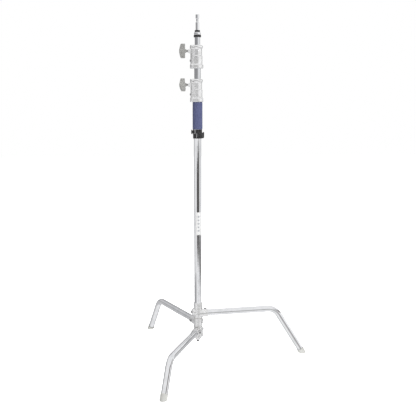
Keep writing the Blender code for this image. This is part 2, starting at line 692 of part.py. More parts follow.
def collar_mesh(name, low_bore, high_bore):
    """A lock casting: flange, lower barrel, upper barrel and rounded top bead."""
    top = COLLAR_TALL
    proud = 4.0 * MM
    levels = [
        (BARREL_LOW, proud * 0.7, 0.0),
        (BARREL_LOW, proud, 1.5 * MM),
        (BARREL_LOW, proud, 16 * MM),
        (BARREL_LOW, 0.0, 20 * MM),
        (BARREL_LOW, 0.0, 57 * MM),
        (BARREL_HIGH, 0.0, 60 * MM),
        (BARREL_HIGH, 0.0, top - 18 * MM),
        (BARREL_HIGH, proud * 0.8, top - 14.5 * MM),
        (BARREL_HIGH, proud, top - 10 * MM),
        (BARREL_HIGH, proud * 0.9, top - 4 * MM),
        (BARREL_HIGH, proud * 0.3, top),
    ]
    sections = [collar_section(*level) for level in levels]
    sections += [bore_section(high_bore, top), bore_section(high_bore, COLLAR_STEP)]
    sections += [bore_section(low_bore, COLLAR_STEP), bore_section(low_bore, 0.0)]
    return loft(name, sections, hollow=True)


def t_handle(name, axis, turn, materials):
    """A thick T-handle with a bulging outer face, on its hub; Z runs out along the screw."""
    shoulder = 20 * MM
    rise = HANDLE_DEEP - shoulder
    bulge_radius = (HANDLE_HALF**2 + rise**2) / (2 * rise)
    half_turn = math.asin(HANDLE_HALF / bulge_radius)
    centre = (0.0, HANDLE_DEEP - bulge_radius)
    upright = math.pi / 2
    outline = [(-HANDLE_HALF, 1.5 * MM), (HANDLE_HALF, 1.5 * MM)]
    outline += arc(centre, bulge_radius, upright - half_turn, upright + half_turn, 8)
    handle_mesh = prism(name, outline, HANDLE_THICK / 2)
    frame = empty(name + "_frame", axis, (0, 0, HANDLE_AT), (0, 0, turn))
    handle = place(name, handle_mesh, materials["cast_handle"], frame)
    edges = handle.modifiers.new("soft_edges", "BEVEL")
    edges.width = 2.4 * MM
    edges.segments = 2
    edges.limit_method = "ANGLE"
    hub = [(0, -8 * MM), (4.8 * MM, -8 * MM), (9.5 * MM, 0), (10.6 * MM, 3 * MM)]
    hub += [(10.6 * MM, HANDLE_DEEP - 2 * MM), (9 * MM, HANDLE_DEEP + 0.8 * MM)]
    hub += [(0, HANDLE_DEEP + 0.8 * MM)]
    join(handle, off_grid(turned(name + "_hub", hub, sides=24)), frame)
    bore = rod(name + "_bore", LOCK_SCREW_RADIUS + GAP, -12 * MM, 14 * MM)
    cut(handle, bore, frame)


def build_collar(tube, riser_radius, tube_radius, bottom, turn, carrier, materials):
    """A lock casting with its bolt, brake shoe, screw and T-handle.

    The casting is fixed on the tube below it and clamps the riser that slides through it.
    """
    frame = empty(tube + "_collar_frame", carrier, (0, 0, bottom))
    name = tube + "_collar"
    mesh = collar_mesh(name, tube_radius + GAP, riser_radius + GAP)
    collar = place(name, mesh, materials["cast_chrome"], frame)
    lock_axis = empty(tube + "_lock_axis", frame, (0, 0, LOCK_HEIGHT), (0, math.radians(-90), 0))
    boss_end = 46 * MM
    boss = [(0, 26 * MM), (12 * MM, 26 * MM), (10.8 * MM, 33 * MM), (6.6 * MM, boss_end)]
    boss += [(0, boss_end)]
    join(collar, off_grid(turned(tube + "_lock_boss", boss, sides=24)), lock_axis)
    pocket = SHOE_RADIUS + GAP
    thread = LOCK_SCREW_RADIUS + GAP
    hole = [(0, 8 * MM), (pocket, 8 * MM), (pocket, SHOE_POCKET_END), (thread, SHOE_POCKET_END)]
    hole += [(thread, boss_end + MM), (0, boss_end + MM)]
    cut(collar, turned(tube + "_lock_hole", hole, sides=20), lock_axis)
    bolt_axis = empty(
        tube + "_collar_bolt_axis", frame, (0, 0, COLLAR_BOLT_HEIGHT), (0, math.radians(-90), 0)
    )
    shank = 3 * MM
    bolt_hole = rod(tube + "_bolt_hole", shank + GAP, 10 * MM, 2 * RIB_REACH)
    cut(collar, off_grid(bolt_hole), bolt_axis)
    bolt_at = (0, 0, RIB_REACH + GAP)
    length = RIB_REACH - tube_radius
    bolt = tube + "_collar_bolt"
    cap_screw(bolt, materials["dark_steel"], bolt_axis, shank, length, bolt_at)

    shoe_face = riser_radius + GAP
    shoe_back = shoe_face + 5 * MM
    shoe = rod(tube + "_brake_shoe", SHOE_RADIUS, shoe_face, shoe_back, sides=20)
    place(tube + "_brake_shoe", shoe, materials["bronze"], lock_axis)
    screw_end = HANDLE_AT + 13 * MM
    screw = rod(tube + "_lock_screw", LOCK_SCREW_RADIUS, shoe_back + GAP, screw_end)
    place(tube + "_lock_screw", screw, materials["dark_steel"], lock_axis)
    t_handle(tube + "_t_handle", lock_axis, turn, materials)


# ---------------------------------------------------------------- risers and stud


def riser_bush(name, tube_inner, riser_radius):
    """The bush under a riser, with a spigot inside it; Z = 0 is the riser's bottom end."""
    outer = tube_inner - GAP
    spigot = riser_radius - TUBE_WALL - GAP
    hole = spigot - 3 * MM
    outline = [(hole, -BUSH_TALL), (outer - MM, -BUSH_TALL), (outer, -BUSH_TALL + MM)]
    outline += [(outer, -GAP), (spigot, -GAP), (spigot, BUSH_SPIGOT_TALL)]
    outline += [(hole, BUSH_SPIGOT_TALL)]
    return turned(name, outline)


def build_riser(index, carrier, top, materials):
    """One riser tube and the bush at its foot."""
    name = f"riser_{index + 1}"
    radius = RISER_RADII[index]
    outside = (COLUMN_RADIUS, RISER_RADII[0])[index]
    bottom = RISER_BOTTOMS[index]
    at_bottom = (0, 0, bottom)
    tube_mesh = ring(name + "_tube", radius - TUBE_WALL, radius, 0, top - bottom, 0.4 * MM)
    tube = place(name + "_tube", tube_mesh, materials["chrome"], carrier, at_bottom)
    bush = riser_bush(name + "_bush", outside - TUBE_WALL, radius)
    place(name + "_bush", bush, materials["nylon"], carrier, at_bottom)
    return tube


def build_stud(carrier, riser_tube, materials):
    """The stud on riser 2, with the rings that close the riser's end."""
    frame = empty("stud_frame", carrier, (0, 0, STUD_BASE))
    riser_radius = RISER_RADII[1]
    bumper = ring("bumper_ring", riser_radius + GAP, 17.2 * MM, 0, BUMPER_TALL - GAP, 3.5 * MM)
    place("bumper_ring", bumper, materials["black_plastic"], frame)
    collar_top = BUMPER_TALL + STUD_COLLAR_TALL
    stud_hole = STUD_RADIUS + GAP
    outline = [(riser_radius + GAP, BUMPER_TALL), (15 * MM, BUMPER_TALL)]
    outline += [(15.6 * MM, BUMPER_TALL + 1.5 * MM), (15.2 * MM, collar_top - 1.5 * MM)]
    outline += [(14 * MM, collar_top), (stud_hole, collar_top)]
    outline += [(stud_hole, collar_top - 3 * MM), (riser_radius + GAP, collar_top - 3 * MM)]
    collar = place("stud_collar", turned("stud_collar", outline), materials["chrome"], frame)
    ring_low = collar_top + GAP
    upper = ring("stud_ring", stud_hole, 12.6 * MM, ring_low, ring_low + STUD_RING_TALL, 2 * MM)
    place("stud_ring", upper, materials["black_plastic"], frame)

    shelf = collar_top - 3 * MM - GAP
    root_radius = riser_radius - TUBE_WALL - GAP
    stud_top = collar_top + STUD_RING_TALL + STUD_SHOWING
    waist = 6.6 * MM
    outline = [(0, shelf - STUD_ROOT), (root_radius, shelf - STUD_ROOT), (root_radius, shelf)]
    outline += [(STUD_RADIUS, shelf), (STUD_RADIUS, stud_top - 36 * MM)]
    outline += [(waist, stud_top - 33 * MM), (waist, stud_top - 19 * MM)]
    outline += [(STUD_RADIUS, stud_top - 17 * MM), (STUD_RADIUS, stud_top - 1.5 * MM)]
    outline += [(STUD_RADIUS - 1.5 * MM, stud_top), (0, stud_top)]
    stud = place("baby_stud", turned("baby_stud", outline), materials["chrome"], frame)
    pin_radius = 2 * MM
    pin_height = BUMPER_TALL + 4.5 * MM
    across = (math.radians(90), 0, 0)
    for piece in (collar, stud, riser_tube):
        hole = rod(piece.name + "_pin_hole", pin_radius + GAP, -20 * MM, 20 * MM, sides=12)
        cut(piece, off_grid(hole), frame, (0, 0, pin_height), across)
    pin = rod("stud_pin", pin_radius, -14.8 * MM, 14.8 * MM, sides=12)
    place("stud_pin", pin, materials["steel"], frame, (0, 0, pin_height), across)


def build_upper_stand(stand, materials):
    """Both risers, the collar on the column, the collar on riser 1 and the stud."""
    riser_1 = empty("riser_1", stand)
    riser_2 = empty("riser_2", riser_1)
    tube_top = COLLAR_BOTTOMS[1] + COLLAR_STEP - GAP
    build_riser(0, riser_1, tube_top, materials)
    stud_shelf = STUD_BASE + BUMPER_TALL + STUD_COLLAR_TALL - 3 * MM - GAP
    riser_2_tube = build_riser(1, riser_2, stud_shelf, materials)
    radii = (COLUMN_RADIUS, *RISER_RADII)
    for index, (tube, carrier) in enumerate((("column", stand), ("riser_1", riser_1))):
        build_collar(
            tube,
            radii[index + 1],
            radii[index],
            COLLAR_BOTTOMS[index],
            HANDLE_TURNS[index],
            carrier,
            materials,
        )
    build_stud(riser_2, riser_2_tube, materials)


# ---------------------------------------------------------------- the whole stand


def centre_footprint(stand):
    """Move the stand so that the middle of its footprint is the origin."""
    bpy.context.view_layer.update()
    feet = [bpy.data.objects[leg + "_foot"] for leg in LEG_HEIGHTS]
    reaches = [(foot.matrix_world @ vert.co).x for foot in feet for vert in foot.data.vertices]
    stand.location.x = -(min(reaches) + max(reaches)) / 2


def build():
    """Build the whole stand."""
    clear_scene()
    materials = make_materials()
    stand = empty("c_stand")
    build_post(stand, materials)
    build_top_leg(stand, materials)
    build_middle_leg(stand, materials)
    build_low_leg(stand, materials)
    build_column(stand, materials)
    build_clip(stand, materials)
    build_upper_stand(stand, materials)
    centre_footprint(stand)


build()
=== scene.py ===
"""The looks of a C-stand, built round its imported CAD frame: finer pieces, finishes and light."""

import json
import math

import bmesh
import bpy
from mathutils import Matrix, Vector, noise


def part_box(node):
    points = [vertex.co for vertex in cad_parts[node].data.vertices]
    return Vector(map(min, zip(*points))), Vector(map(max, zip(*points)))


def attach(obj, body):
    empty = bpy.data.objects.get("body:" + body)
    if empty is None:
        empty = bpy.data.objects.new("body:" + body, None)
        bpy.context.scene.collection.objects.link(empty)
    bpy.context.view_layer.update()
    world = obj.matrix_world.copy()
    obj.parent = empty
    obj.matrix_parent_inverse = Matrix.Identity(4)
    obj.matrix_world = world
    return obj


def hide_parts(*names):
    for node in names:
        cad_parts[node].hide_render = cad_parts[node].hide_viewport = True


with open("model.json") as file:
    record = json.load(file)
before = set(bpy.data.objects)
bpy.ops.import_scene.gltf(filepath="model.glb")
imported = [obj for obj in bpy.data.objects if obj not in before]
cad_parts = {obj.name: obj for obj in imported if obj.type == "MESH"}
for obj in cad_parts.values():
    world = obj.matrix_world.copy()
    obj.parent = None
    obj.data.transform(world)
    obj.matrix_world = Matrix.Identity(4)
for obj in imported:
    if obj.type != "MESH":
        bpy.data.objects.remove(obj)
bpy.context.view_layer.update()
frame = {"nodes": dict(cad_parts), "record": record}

MM = 0.001
GAP = 0.3 * MM
FINE = 64  # sides of a turned piece
CRISP = math.radians(38)
ROUNDING_STEPS = 5

# The leg's run, as in the CAD part.
FOOT_REACH = 532 * MM
LEG_SPREAD = math.radians(113)
LEG_RISE = math.radians(1.3)
LEG_SLOPE = math.radians(58.2)
LEG_RADIUS = 15.5 * MM
LEG_WALL = 1.5 * MM
LEG_BEND = 64 * MM
LEG_ROOT = 21 * MM
TOP_LEG_HEIGHT = 227 * MM
LEG_PITCH = 44 * MM
FOOT_TALL = 25 * MM
FOOT_WALL = 1.7 * MM
FOOT_FLOOR = 16.7 * MM
LEG_HEIGHTS = {
    "top_leg": TOP_LEG_HEIGHT,
    "middle_leg": TOP_LEG_HEIGHT - LEG_PITCH,
    "low_leg": TOP_LEG_HEIGHT - 2 * LEG_PITCH,
}
LEG_TURNS = {"top_leg": 0.0, "middle_leg": LEG_SPREAD, "low_leg": -LEG_SPREAD}
SOCKET_REACHES = {"top_leg": 47 * MM, "middle_leg": 58 * MM, "low_leg": 64 * MM}

# Hubs and castings.
HUB_RADIUS = 21 * MM
SOCKET_RADIUS = 20.4 * MM
SOCKET_SCREW_AT = 36 * MM
POST_RADIUS = 11.7 * MM
CLAMP_BOSS_HEIGHT = 234 * MM
BARREL_LOW = 22.8 * MM
BARREL_HIGH = 21 * MM
RIB_REACH = 31.7 * MM
RIB_HALF = 17 * MM
RIB_CORNER = 6 * MM
LOCK_HEIGHT = 79 * MM
COLLAR_BOLT_HEIGHT = 35 * MM
COLLAR_STEP = 52 * MM
LOCK_SCREW_RADIUS = 4 * MM
HANDLE_AT = 57 * MM
HANDLE_HALF = 32.5 * MM
HANDLE_DEEP = 27 * MM
HANDLE_THICK = 18 * MM
HANDLE_TURNS = {"column": math.radians(40), "riser_1": 0.0}
CLIP_TURN = math.radians(-7.5)
FLAT_MARGIN = 1.06  # how far beyond a rounding the flat's own shading starts
CAST_GRAIN = 0.75 * MM  # voxel size that rounds a casting's edges
STUD_RADIUS = 8 * MM
PIN_HOLE = 8.3 * MM  # round the stud, and round the post's thinner end
LEG_SCREW_RADIUS = 3 * MM
CLAMP_BOLT_RADIUS = 4 * MM
TUBE_WALL = 1.5 * MM
ROUND_SIDES = 96  # sides of the pieces whose outline shows most


def shift(x, y, z):
    """A move."""
    return Matrix.Translation((x, y, z))


def turn(axis, angle):
    """A turn about one axis."""
    return Matrix.Rotation(angle, 4, axis)


UPRIGHT = math.pi / 2
OFF_GRID = turn("Z", math.radians(2.3))  # keeps a round cutter's edges off those it meets
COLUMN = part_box("column_tube")
AXIS_X = (COLUMN[0].x + COLUMN[1].x) / 2
STAND = shift(AXIS_X, 0.0, 0.0)
NODE_SLOTS = {part["node"]: part["material_slot"] for part in frame["record"]["subparts"]}
NODE_BODIES = {
    node: body for body, nodes in frame["record"]["behaviour"]["bodies"].items() for node in nodes
}


# ---------------------------------------------------------------- material helpers


class Finish:
    """A material's node tree, with short calls for the nodes that a finish needs."""

    def __init__(self, name):
        self.material = bpy.data.materials.new(name)
        self.material.use_nodes = True
        self.tree = self.material.node_tree
        self.shader = self.tree.nodes["Principled BSDF"]
        self.place = self.tree.nodes.new("ShaderNodeTexCoord").outputs["Object"]

    def set(self, **values):
        """Set the shader's own sockets."""
        for name, value in values.items():
            self.shader.inputs[name.replace("_", " ")].default_value = value

    def link(self, source, target):
        """Link two sockets."""
        self.tree.links.new(source, target)

    def stretched(self, x, y, z):
        """Object coordinates scaled along each axis."""
        node = self.tree.nodes.new("ShaderNodeMapping")
        node.inputs["Scale"].default_value = (x, y, z)
        self.link(self.place, node.inputs["Vector"])
        return node.outputs["Vector"]

    def noise(self, scale, detail=4.0, roughness=0.55, place=None):
        """Noise from 0 to 1 over the object."""
        node = self.tree.nodes.new("ShaderNodeTexNoise")
        node.inputs["Scale"].default_value = scale
        node.inputs["Detail"].default_value = detail
        node.inputs["Roughness"].default_value = roughness
        self.link(place or self.place, node.inputs["Vector"])
        return node.outputs["Fac"]

    def cells(self, scale, place=None):
        """Distance to the nearest of many scattered points."""
        node = self.tree.nodes.new("ShaderNodeTexVoronoi")
        node.inputs["Scale"].default_value = scale
        self.link(place or self.place, node.inputs["Vector"])
        return node.outputs["Distance"]

    def spread(self, value, low, high, to_low=0.0, to_high=1.0):
        """A value's stretch from low to high, mapped smoothly to another stretch."""
        node = self.tree.nodes.new("ShaderNodeMapRange")
        node.interpolation_type = "SMOOTHSTEP"
        for name, number in (
            ("From Min", low),
            ("From Max", high),
            ("To Min", to_low),
            ("To Max", to_high),
        ):
            node.inputs[name].default_value = number
        self.link(value, node.inputs["Value"])
        return node.outputs["Result"]

    def math(self, operation, first, second=0.0):
        """A Math node over sockets or numbers."""
        node = self.tree.nodes.new("ShaderNodeMath")
        node.operation = operation
        for socket, value in zip(node.inputs, (first, second)):
            if isinstance(value, (int, float)):
                socket.default_value = value
            else:
                self.link(value, socket)
        return node.outputs["Value"]

    def blend(self, amount, first, second):
        """A mix of two colours, each a tuple or a socket."""
        node = self.tree.nodes.new("ShaderNodeMix")
        node.data_type = "RGBA"
        self.link(amount, node.inputs["Factor"])
        colours = [socket for socket in node.inputs if socket.type == "RGBA"]
        for socket, value in zip(colours, (first, second)):
            if isinstance(value, tuple):
                socket.default_value = (*value, 1.0)
            else:
                self.link(value, socket)
        return [socket for socket in node.outputs if socket.type == "RGBA"][0]

    def bump(self, height, distance, strength=1.0, under=None):
        """A bump of this height in metres, over an earlier one."""
        node = self.tree.nodes.new("ShaderNodeBump")
        node.inputs["Strength"].default_value = strength
        node.inputs["Distance"].default_value = distance
        self.link(height, node.inputs["Height"])
        if under is not None:
            self.link(under, node.inputs["Normal"])
        return node.outputs["Normal"]

    def coat(self, colour=None, roughness=None, normal=None):
        """Link the finish's colour, roughness and normal to the shader."""
        for name, socket in (("Base Color", colour), ("Roughness", roughness), ("Normal", normal)):
            if socket is not None:
                self.link(socket, self.shader.inputs[name])
        return self.material


def chrome_tube(name, light, dull):
    """Plate on drawn tube: long faint draw marks, light smudges and fine pitting."""
    finish = Finish(name)
    finish.set(Metallic=1.0)
    along = finish.stretched(1.0, 1.0, 0.04)
    draw_marks = finish.noise(900.0, place=along)
    smudges = finish.noise(26.0, detail=6.0)
    colour = finish.blend(finish.spread(smudges, 0.35, 0.75), light, dull)
    roughness = finish.math(
        "ADD",
        finish.spread(smudges, 0.45, 0.8, 0.045, 0.13),
        finish.spread(draw_marks, 0.4, 0.8, 0.0, 0.05),
    )
    normal = finish.bump(draw_marks, 0.01 * MM)
    normal = finish.bump(finish.noise(55.0, detail=2.0), 0.05 * MM, under=normal)
    return finish.coat(colour, roughness, normal)


def chrome_cast():
    """Plated polished casting: soft orange-peel, a few pits, dirt in the hollows."""
    finish = Finish("chrome_cast")
    finish.set(Metallic=0.9)
    patches = finish.noise(70.0, detail=6.0)
    pits = finish.spread(finish.cells(420.0), 0.05, 0.16)
    dirt = finish.spread(patches, 0.35, 0.8)
    colour = finish.blend(dirt, (0.84, 0.84, 0.845), (0.72, 0.72, 0.71))
    roughness = finish.spread(patches, 0.3, 0.8, 0.15, 0.27)
    normal = finish.bump(finish.noise(190.0, detail=3.0), 0.09 * MM)
    normal = finish.bump(pits, 0.04 * MM, under=normal)
    return finish.coat(colour, roughness, normal)


def handle_cast():
    """Tumbled grey casting: grainy, darker in the hollows, with a painted highlight on its convex
    edges.
    """
    finish = Finish("handle_cast")
    finish.set(Metallic=0.85)
    grain = finish.noise(650.0, detail=5.0)
    patches = finish.noise(95.0, detail=5.0)
    wear_and_edge_highlight = finish.tree.nodes.new("ShaderNodeNewGeometry").outputs["Pointiness"]
    hollows = finish.spread(patches, 0.3, 0.75)
    colour = finish.blend(hollows, (0.46, 0.46, 0.44), (0.38, 0.38, 0.365))
    # Painted highlight: the convex edges, where pointiness is high, are painted a paler grey.
    colour = finish.blend(finish.spread(wear_and_edge_highlight, 0.52, 0.60), colour, (0.66, 0.66, 0.64))
    roughness = finish.spread(grain, 0.3, 0.75, 0.34, 0.52)
    normal = finish.bump(grain, 0.05 * MM)
    normal = finish.bump(patches, 0.10 * MM, under=normal)
    return finish.coat(colour, roughness, normal)


def turned_steel(name, light, dark, smooth, rough):
    """Turned steel with fine lathe rings and oil stains."""
    finish = Finish(name)
    finish.set(Metallic=1.0)
    rings = finish.noise(1400.0, place=finish.stretched(0.05, 0.05, 1.0))
    stains = finish.noise(160.0, detail=5.0)
    colour = finish.blend(finish.spread(stains, 0.35, 0.75), light, dark)
    roughness = finish.spread(stains, 0.3, 0.8, smooth, rough)
    return finish.coat(colour, roughness, finish.bump(rings, 0.02 * MM))


def moulded(name, base, scuffed, smooth, rough, grain_scale, grain_deep):
    """Moulded plastic: fine spark grain with paler scuffs."""
    finish = Finish(name)
    finish.set(Metallic=0.0)
    grain = finish.noise(grain_scale, detail=3.0)
    scuffs = finish.noise(140.0, detail=8.0, roughness=0.7)
    colour = finish.blend(finish.spread(scuffs, 0.52, 0.72), base, scuffed)
    roughness = finish.spread(scuffs, 0.35, 0.75, smooth, rough)
    normal = finish.bump(grain, grain_deep)
    normal = finish.bump(scuffs, 0.06 * MM, under=normal)
    return finish.coat(colour, roughness, normal)


def grip_vinyl():
    """Blue grip sleeve: pebbled vinyl with painted shade between the pebbles, rubbed a little paler
    where hands go.
    """
    finish = Finish("grip_vinyl")
    finish.set(Metallic=0.0, Specular_IOR_Level=0.3)
    pebbles = finish.cells(620.0)
    wear = finish.noise(34.0, detail=6.0)
    fine = finish.noise(1500.0, detail=2.0)
    wear_and_edge_highlight = finish.spread(wear, 0.35, 0.7)
    colour = finish.blend(wear_and_edge_highlight, (0.078, 0.088, 0.177), (0.093, 0.103, 0.195))
    # Painted shade: the gaps between the pebbles, low in the bump below, are painted a darker blue.
    colour = finish.blend(finish.spread(pebbles, 0.35, 0.75), colour, (0.063, 0.072, 0.147))
    roughness = finish.spread(wear, 0.3, 0.75, 0.62, 0.48)
    normal = finish.bump(finish.spread(pebbles, 0.1, 0.7, 1.0, 0.0), 0.07 * MM)
    normal = finish.bump(fine, 0.03 * MM, under=normal)
    return finish.coat(colour, roughness, normal)


def label_film():
    """White film with plain pale-grey bars and no lettering."""
    finish = Finish("label_film")
    finish.set(Metallic=0.0)
    low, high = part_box("column_label")
    tall = high.z - low.z
    separate = finish.tree.nodes.new("ShaderNodeSeparateXYZ")
    finish.link(finish.place, separate.inputs["Vector"])
    along = finish.math("DIVIDE", finish.math("SUBTRACT", separate.outputs["Z"], low.z), tall)
    beat = finish.math("SINE", finish.math("MULTIPLY", along, math.tau * 6.5))
    bars = finish.spread(beat, 0.15, 0.4)
    middle = finish.math("SUBTRACT", separate.outputs["X"], (low.x + high.x) / 2)
    across = finish.math("ABSOLUTE", middle)
    inside = finish.math(
        "MULTIPLY",
        finish.spread(across, 4.2 * MM, 4.8 * MM, 1.0, 0.0),
        finish.math(
            "MULTIPLY", finish.spread(along, 0.12, 0.14), finish.spread(along, 0.86, 0.88, 1.0, 0.0)
        ),
    )
    marks = finish.math("MULTIPLY", bars, inside)
    yellowing = finish.noise(60.0, detail=5.0)
    aged = finish.spread(yellowing, 0.3, 0.8)
    paper = finish.blend(aged, (0.64, 0.64, 0.64), (0.56, 0.56, 0.555))
    colour = finish.blend(marks, paper, (0.33, 0.34, 0.36))
    roughness = finish.spread(yellowing, 0.3, 0.8, 0.35, 0.5)
    return finish.coat(colour, roughness, finish.bump(yellowing, 0.02 * MM))


MATERIALS = {
    "chrome": chrome_tube("chrome_tube", (0.88, 0.885, 0.90), (0.80, 0.81, 0.825)),
    "riser_chrome": chrome_tube("chrome_riser", (0.74, 0.75, 0.77), (0.66, 0.67, 0.69)),
    "cast_chrome": chrome_cast(),
    "cast_handle": handle_cast(),
    "steel": turned_steel("turned_steel", (0.60, 0.60, 0.61), (0.42, 0.41, 0.40), 0.18, 0.38),
    "dark_steel": turned_steel("dull_screws", (0.45, 0.45, 0.46), (0.28, 0.275, 0.27), 0.25, 0.45),
    "bronze": turned_steel("shoe_bronze", (0.66, 0.45, 0.24), (0.48, 0.31, 0.16), 0.25, 0.45),
    "blue_grip": grip_vinyl(),
    "black_plastic": moulded(
        "black_plastic", (0.010, 0.010, 0.011), (0.035, 0.035, 0.036), 0.32, 0.55, 1500.0, 0.04 * MM
    ),
    "grey_plastic": moulded(
        "foot_plastic", (0.50, 0.50, 0.48), (0.41, 0.41, 0.39), 0.45, 0.7, 1100.0, 0.06 * MM
    ),
    "nylon": moulded(
        "nylon", (0.74, 0.72, 0.66), (0.60, 0.57, 0.50), 0.40, 0.55, 1300.0, 0.03 * MM
    ),
    "label": label_film(),
}


# ---------------------------------------------------------------- mesh helpers


def finished(bm, name):
    """The mesh of a bmesh, closed, facing out and smooth where it is round."""
    bmesh.ops.remove_doubles(bm, verts=bm.verts, dist=0.001 * MM)
    bmesh.ops.recalc_face_normals(bm, faces=bm.faces)
    mesh = bpy.data.meshes.new(name)
    bm.to_mesh(mesh)
    bm.free()
    mesh.shade_smooth()
    mesh.set_sharp_from_angle(angle=CRISP)
    return mesh


def rounded(corners):
    """A closed outline of (x, z, rounding) corners, with the rounded ones as short curves."""
    points = []
    for index, (x, z, rounding) in enumerate(corners):
        here = Vector((x, z))
        before = Vector(corners[index - 1][:2]) - here
        after = Vector(corners[(index + 1) % len(corners)][:2]) - here
        if rounding == 0:
            points.append(here)
            continue
        start = before.normalized() * min(rounding, before.length * 0.46)
        end = after.normalized() * min(rounding, after.length * 0.46)
        points.append(here + start * FLAT_MARGIN)
        for step in range(ROUNDING_STEPS + 1):
            t = step / ROUNDING_STEPS
            points.append(here + start * (1 - t) ** 2 + end * t**2)
        points.append(here + end * FLAT_MARGIN)
    return [(point.x, point.y) for point in points]


def lathe(name, corners, sides=FINE):
    """A closed outline of (radius, height, rounding) corners turned round Z."""
    bm = bmesh.new()
    points = [bm.verts.new((max(x, 0.0), 0.0, z)) for x, z in rounded(corners)]
    edges = [
        bm.edges.new(ends)
        for ends in zip(points, points[1:] + points[:1])
        if ends[0].co.x > 0.0 or ends[1].co.x > 0.0
    ]
    bmesh.ops.spin(
        bm,
        geom=points + edges,
        cent=(0.0, 0.0, 0.0),
        axis=(0.0, 0.0, 1.0),
        angle=math.tau,
        steps=sides,
        use_merge=True,
    )
    return finished(bm, name)


def rod(name, radius, low, high, sides=FINE, edge=0.0):
    """A round bar along Z."""
    corners = [(0, low, 0), (radius, low, edge), (radius, high, edge), (0, high, 0)]
    return lathe(name, corners, sides)


def hoop(name, inner, outer, low, high, edge, sides=FINE):
    """A ring along Z with rounded outer edges."""
    corners = [(inner, low, edge / 3), (outer, low, edge), (outer, high, edge)]
    corners += [(inner, high, edge / 3)]
    return lathe(name, corners, sides)


def block(name, low, high):
    """A block between two corners."""
    bm = bmesh.new()
    bmesh.ops.create_cube(bm, size=1.0)
    low, high = Vector(low), Vector(high)
    bmesh.ops.scale(bm, vec=high - low, verts=bm.verts)
    bmesh.ops.translate(bm, vec=(high + low) / 2, verts=bm.verts)
    return finished(bm, name)


def loft(name, sections, hollow=False):
    """A skin over rings of points; a hollow one's last ring joins its first."""
    bm = bmesh.new()
    rings = [[bm.verts.new(point) for point in section] for section in sections]
    count = len(rings[0])
    followers = rings[1:] + rings[:1] if hollow else rings[1:]
    for near, far in zip(rings, followers):
        for index in range(count):
            after = (index + 1) % count
            bm.faces.new((near[index], near[after], far[after], far[index]))
    if not hollow:
        bm.faces.new(rings[0])
        bm.faces.new(rings[-1])
    return finished(bm, name)


def plate(name, corners, half):
    """An outline of (x, z, rounding) corners extruded to both sides of Y = 0."""
    outline = rounded(corners)
    return loft(name, [[(x, y, z) for x, z in outline] for y in (-half, half)])


def arc(centre, radius, start, end, steps):
    """Points on an arc from one angle to another."""
    turns = [start + (end - start) * step / steps for step in range(steps + 1)]
    return [(centre[0] + radius * math.cos(t), centre[1] + radius * math.sin(t)) for t in turns]


def worked(name, mesh, joins=(), cuts=(), voxel=0.0, soften=0, bevel=0.0):
    """One mesh from a body, the shapes joined to it and then those cut from it.

    Each join or cut is (mesh, place). A voxel size and softening round it like a casting;
    a bevel rounds its edges like a moulding.
    """
    work = bpy.data.objects.new(name, mesh)
    helpers = [work]
    bpy.context.scene.collection.objects.link(work)
    for operation, shapes in (("UNION", joins), ("DIFFERENCE", cuts)):
        for shape, place in shapes:
            helper = bpy.data.objects.new(shape.name, shape)
            bpy.context.scene.collection.objects.link(helper)
            helper.matrix_world = place
            helpers.append(helper)
            boolean = work.modifiers.new(shape.name, "BOOLEAN")
            boolean.operation = operation
            boolean.solver = "EXACT"
            boolean.object = helper
    if voxel:
        remesh = work.modifiers.new("remesh", "REMESH")
        remesh.mode = "VOXEL"
        remesh.voxel_size = voxel
        remesh.use_smooth_shade = True
    if soften:
        smooth = work.modifiers.new("smooth", "SMOOTH")
        smooth.factor = 0.5
        smooth.iterations = soften
    if bevel:
        edges = work.modifiers.new("bevel", "BEVEL")
        edges.width = bevel
        edges.segments = 3
        edges.limit_method = "ANGLE"
        edges.angle_limit = math.radians(40)
    bpy.context.view_layer.update()
    depsgraph = bpy.context.evaluated_depsgraph_get()
    result = bpy.data.meshes.new_from_object(work.evaluated_get(depsgraph), depsgraph=depsgraph)
    for helper in helpers:
        bpy.data.objects.remove(helper, do_unlink=True)
    result.name = name
    result.shade_smooth()
    if not voxel:
        result.set_sharp_from_angle(angle=CRISP)
    return result


def show(node, mesh, place=STAND, finish=None):
    """Show a finer mesh in place of a CAD node, on the node's body and in its finish."""
    mesh.transform(place)
    item = bpy.data.objects.new(node + "_fine", mesh)
    bpy.context.scene.collection.objects.link(item)
    item.data.materials.clear()
    item.data.materials.append(MATERIALS[finish or NODE_SLOTS[node]])
    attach(item, NODE_BODIES[node])
    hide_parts(node)


# ---------------------------------------------------------------- small shared parts


def cap_screw(node, shank, length, place):
    """A socket cap screw with a knurled head; its head stands on Z = 0 of its place."""
    head = shank * 1.65
    tall = shank * 1.2
    corners = [(0, -length, 0), (shank, -length, 0.3 * MM), (shank, 0, 0), (head, 0, 0.2 * MM)]
    corners += [(head, tall, 0.6 * MM), (0, tall, 0)]
    mesh = lathe(node, corners, sides=ROUND_SIDES)
    for vertex in mesh.vertices:
        radius = math.hypot(vertex.co.x, vertex.co.y)
        if radius > head * 0.97 and 0.15 * tall < vertex.co.z < 0.85 * tall:
            wave = math.cos(math.atan2(vertex.co.y, vertex.co.x) * 32)
            vertex.co.xy *= 1.0 - 0.02 * (1 - wave)
    recess = rod(node + "_recess", shank * 0.85, tall * 0.45, tall * 1.5, sides=6)
    show(node, worked(node, mesh, cuts=[(recess, Matrix.Identity(4))]), place)


def tube(node, finish, edge=0.5 * MM):
    """A straight tube as long and as wide as its CAD node."""
    low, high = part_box(node)
    radius = (high.x - low.x) / 2
    bore = radius - TUBE_WALL
    corners = [(bore, low.z, edge), (radius, low.z, edge), (radius, high.z, edge)]
    corners += [(bore, high.z, edge)]
    show(node, lathe(node, corners, sides=ROUND_SIDES), finish=finish)


# ---------------------------------------------------------------- base


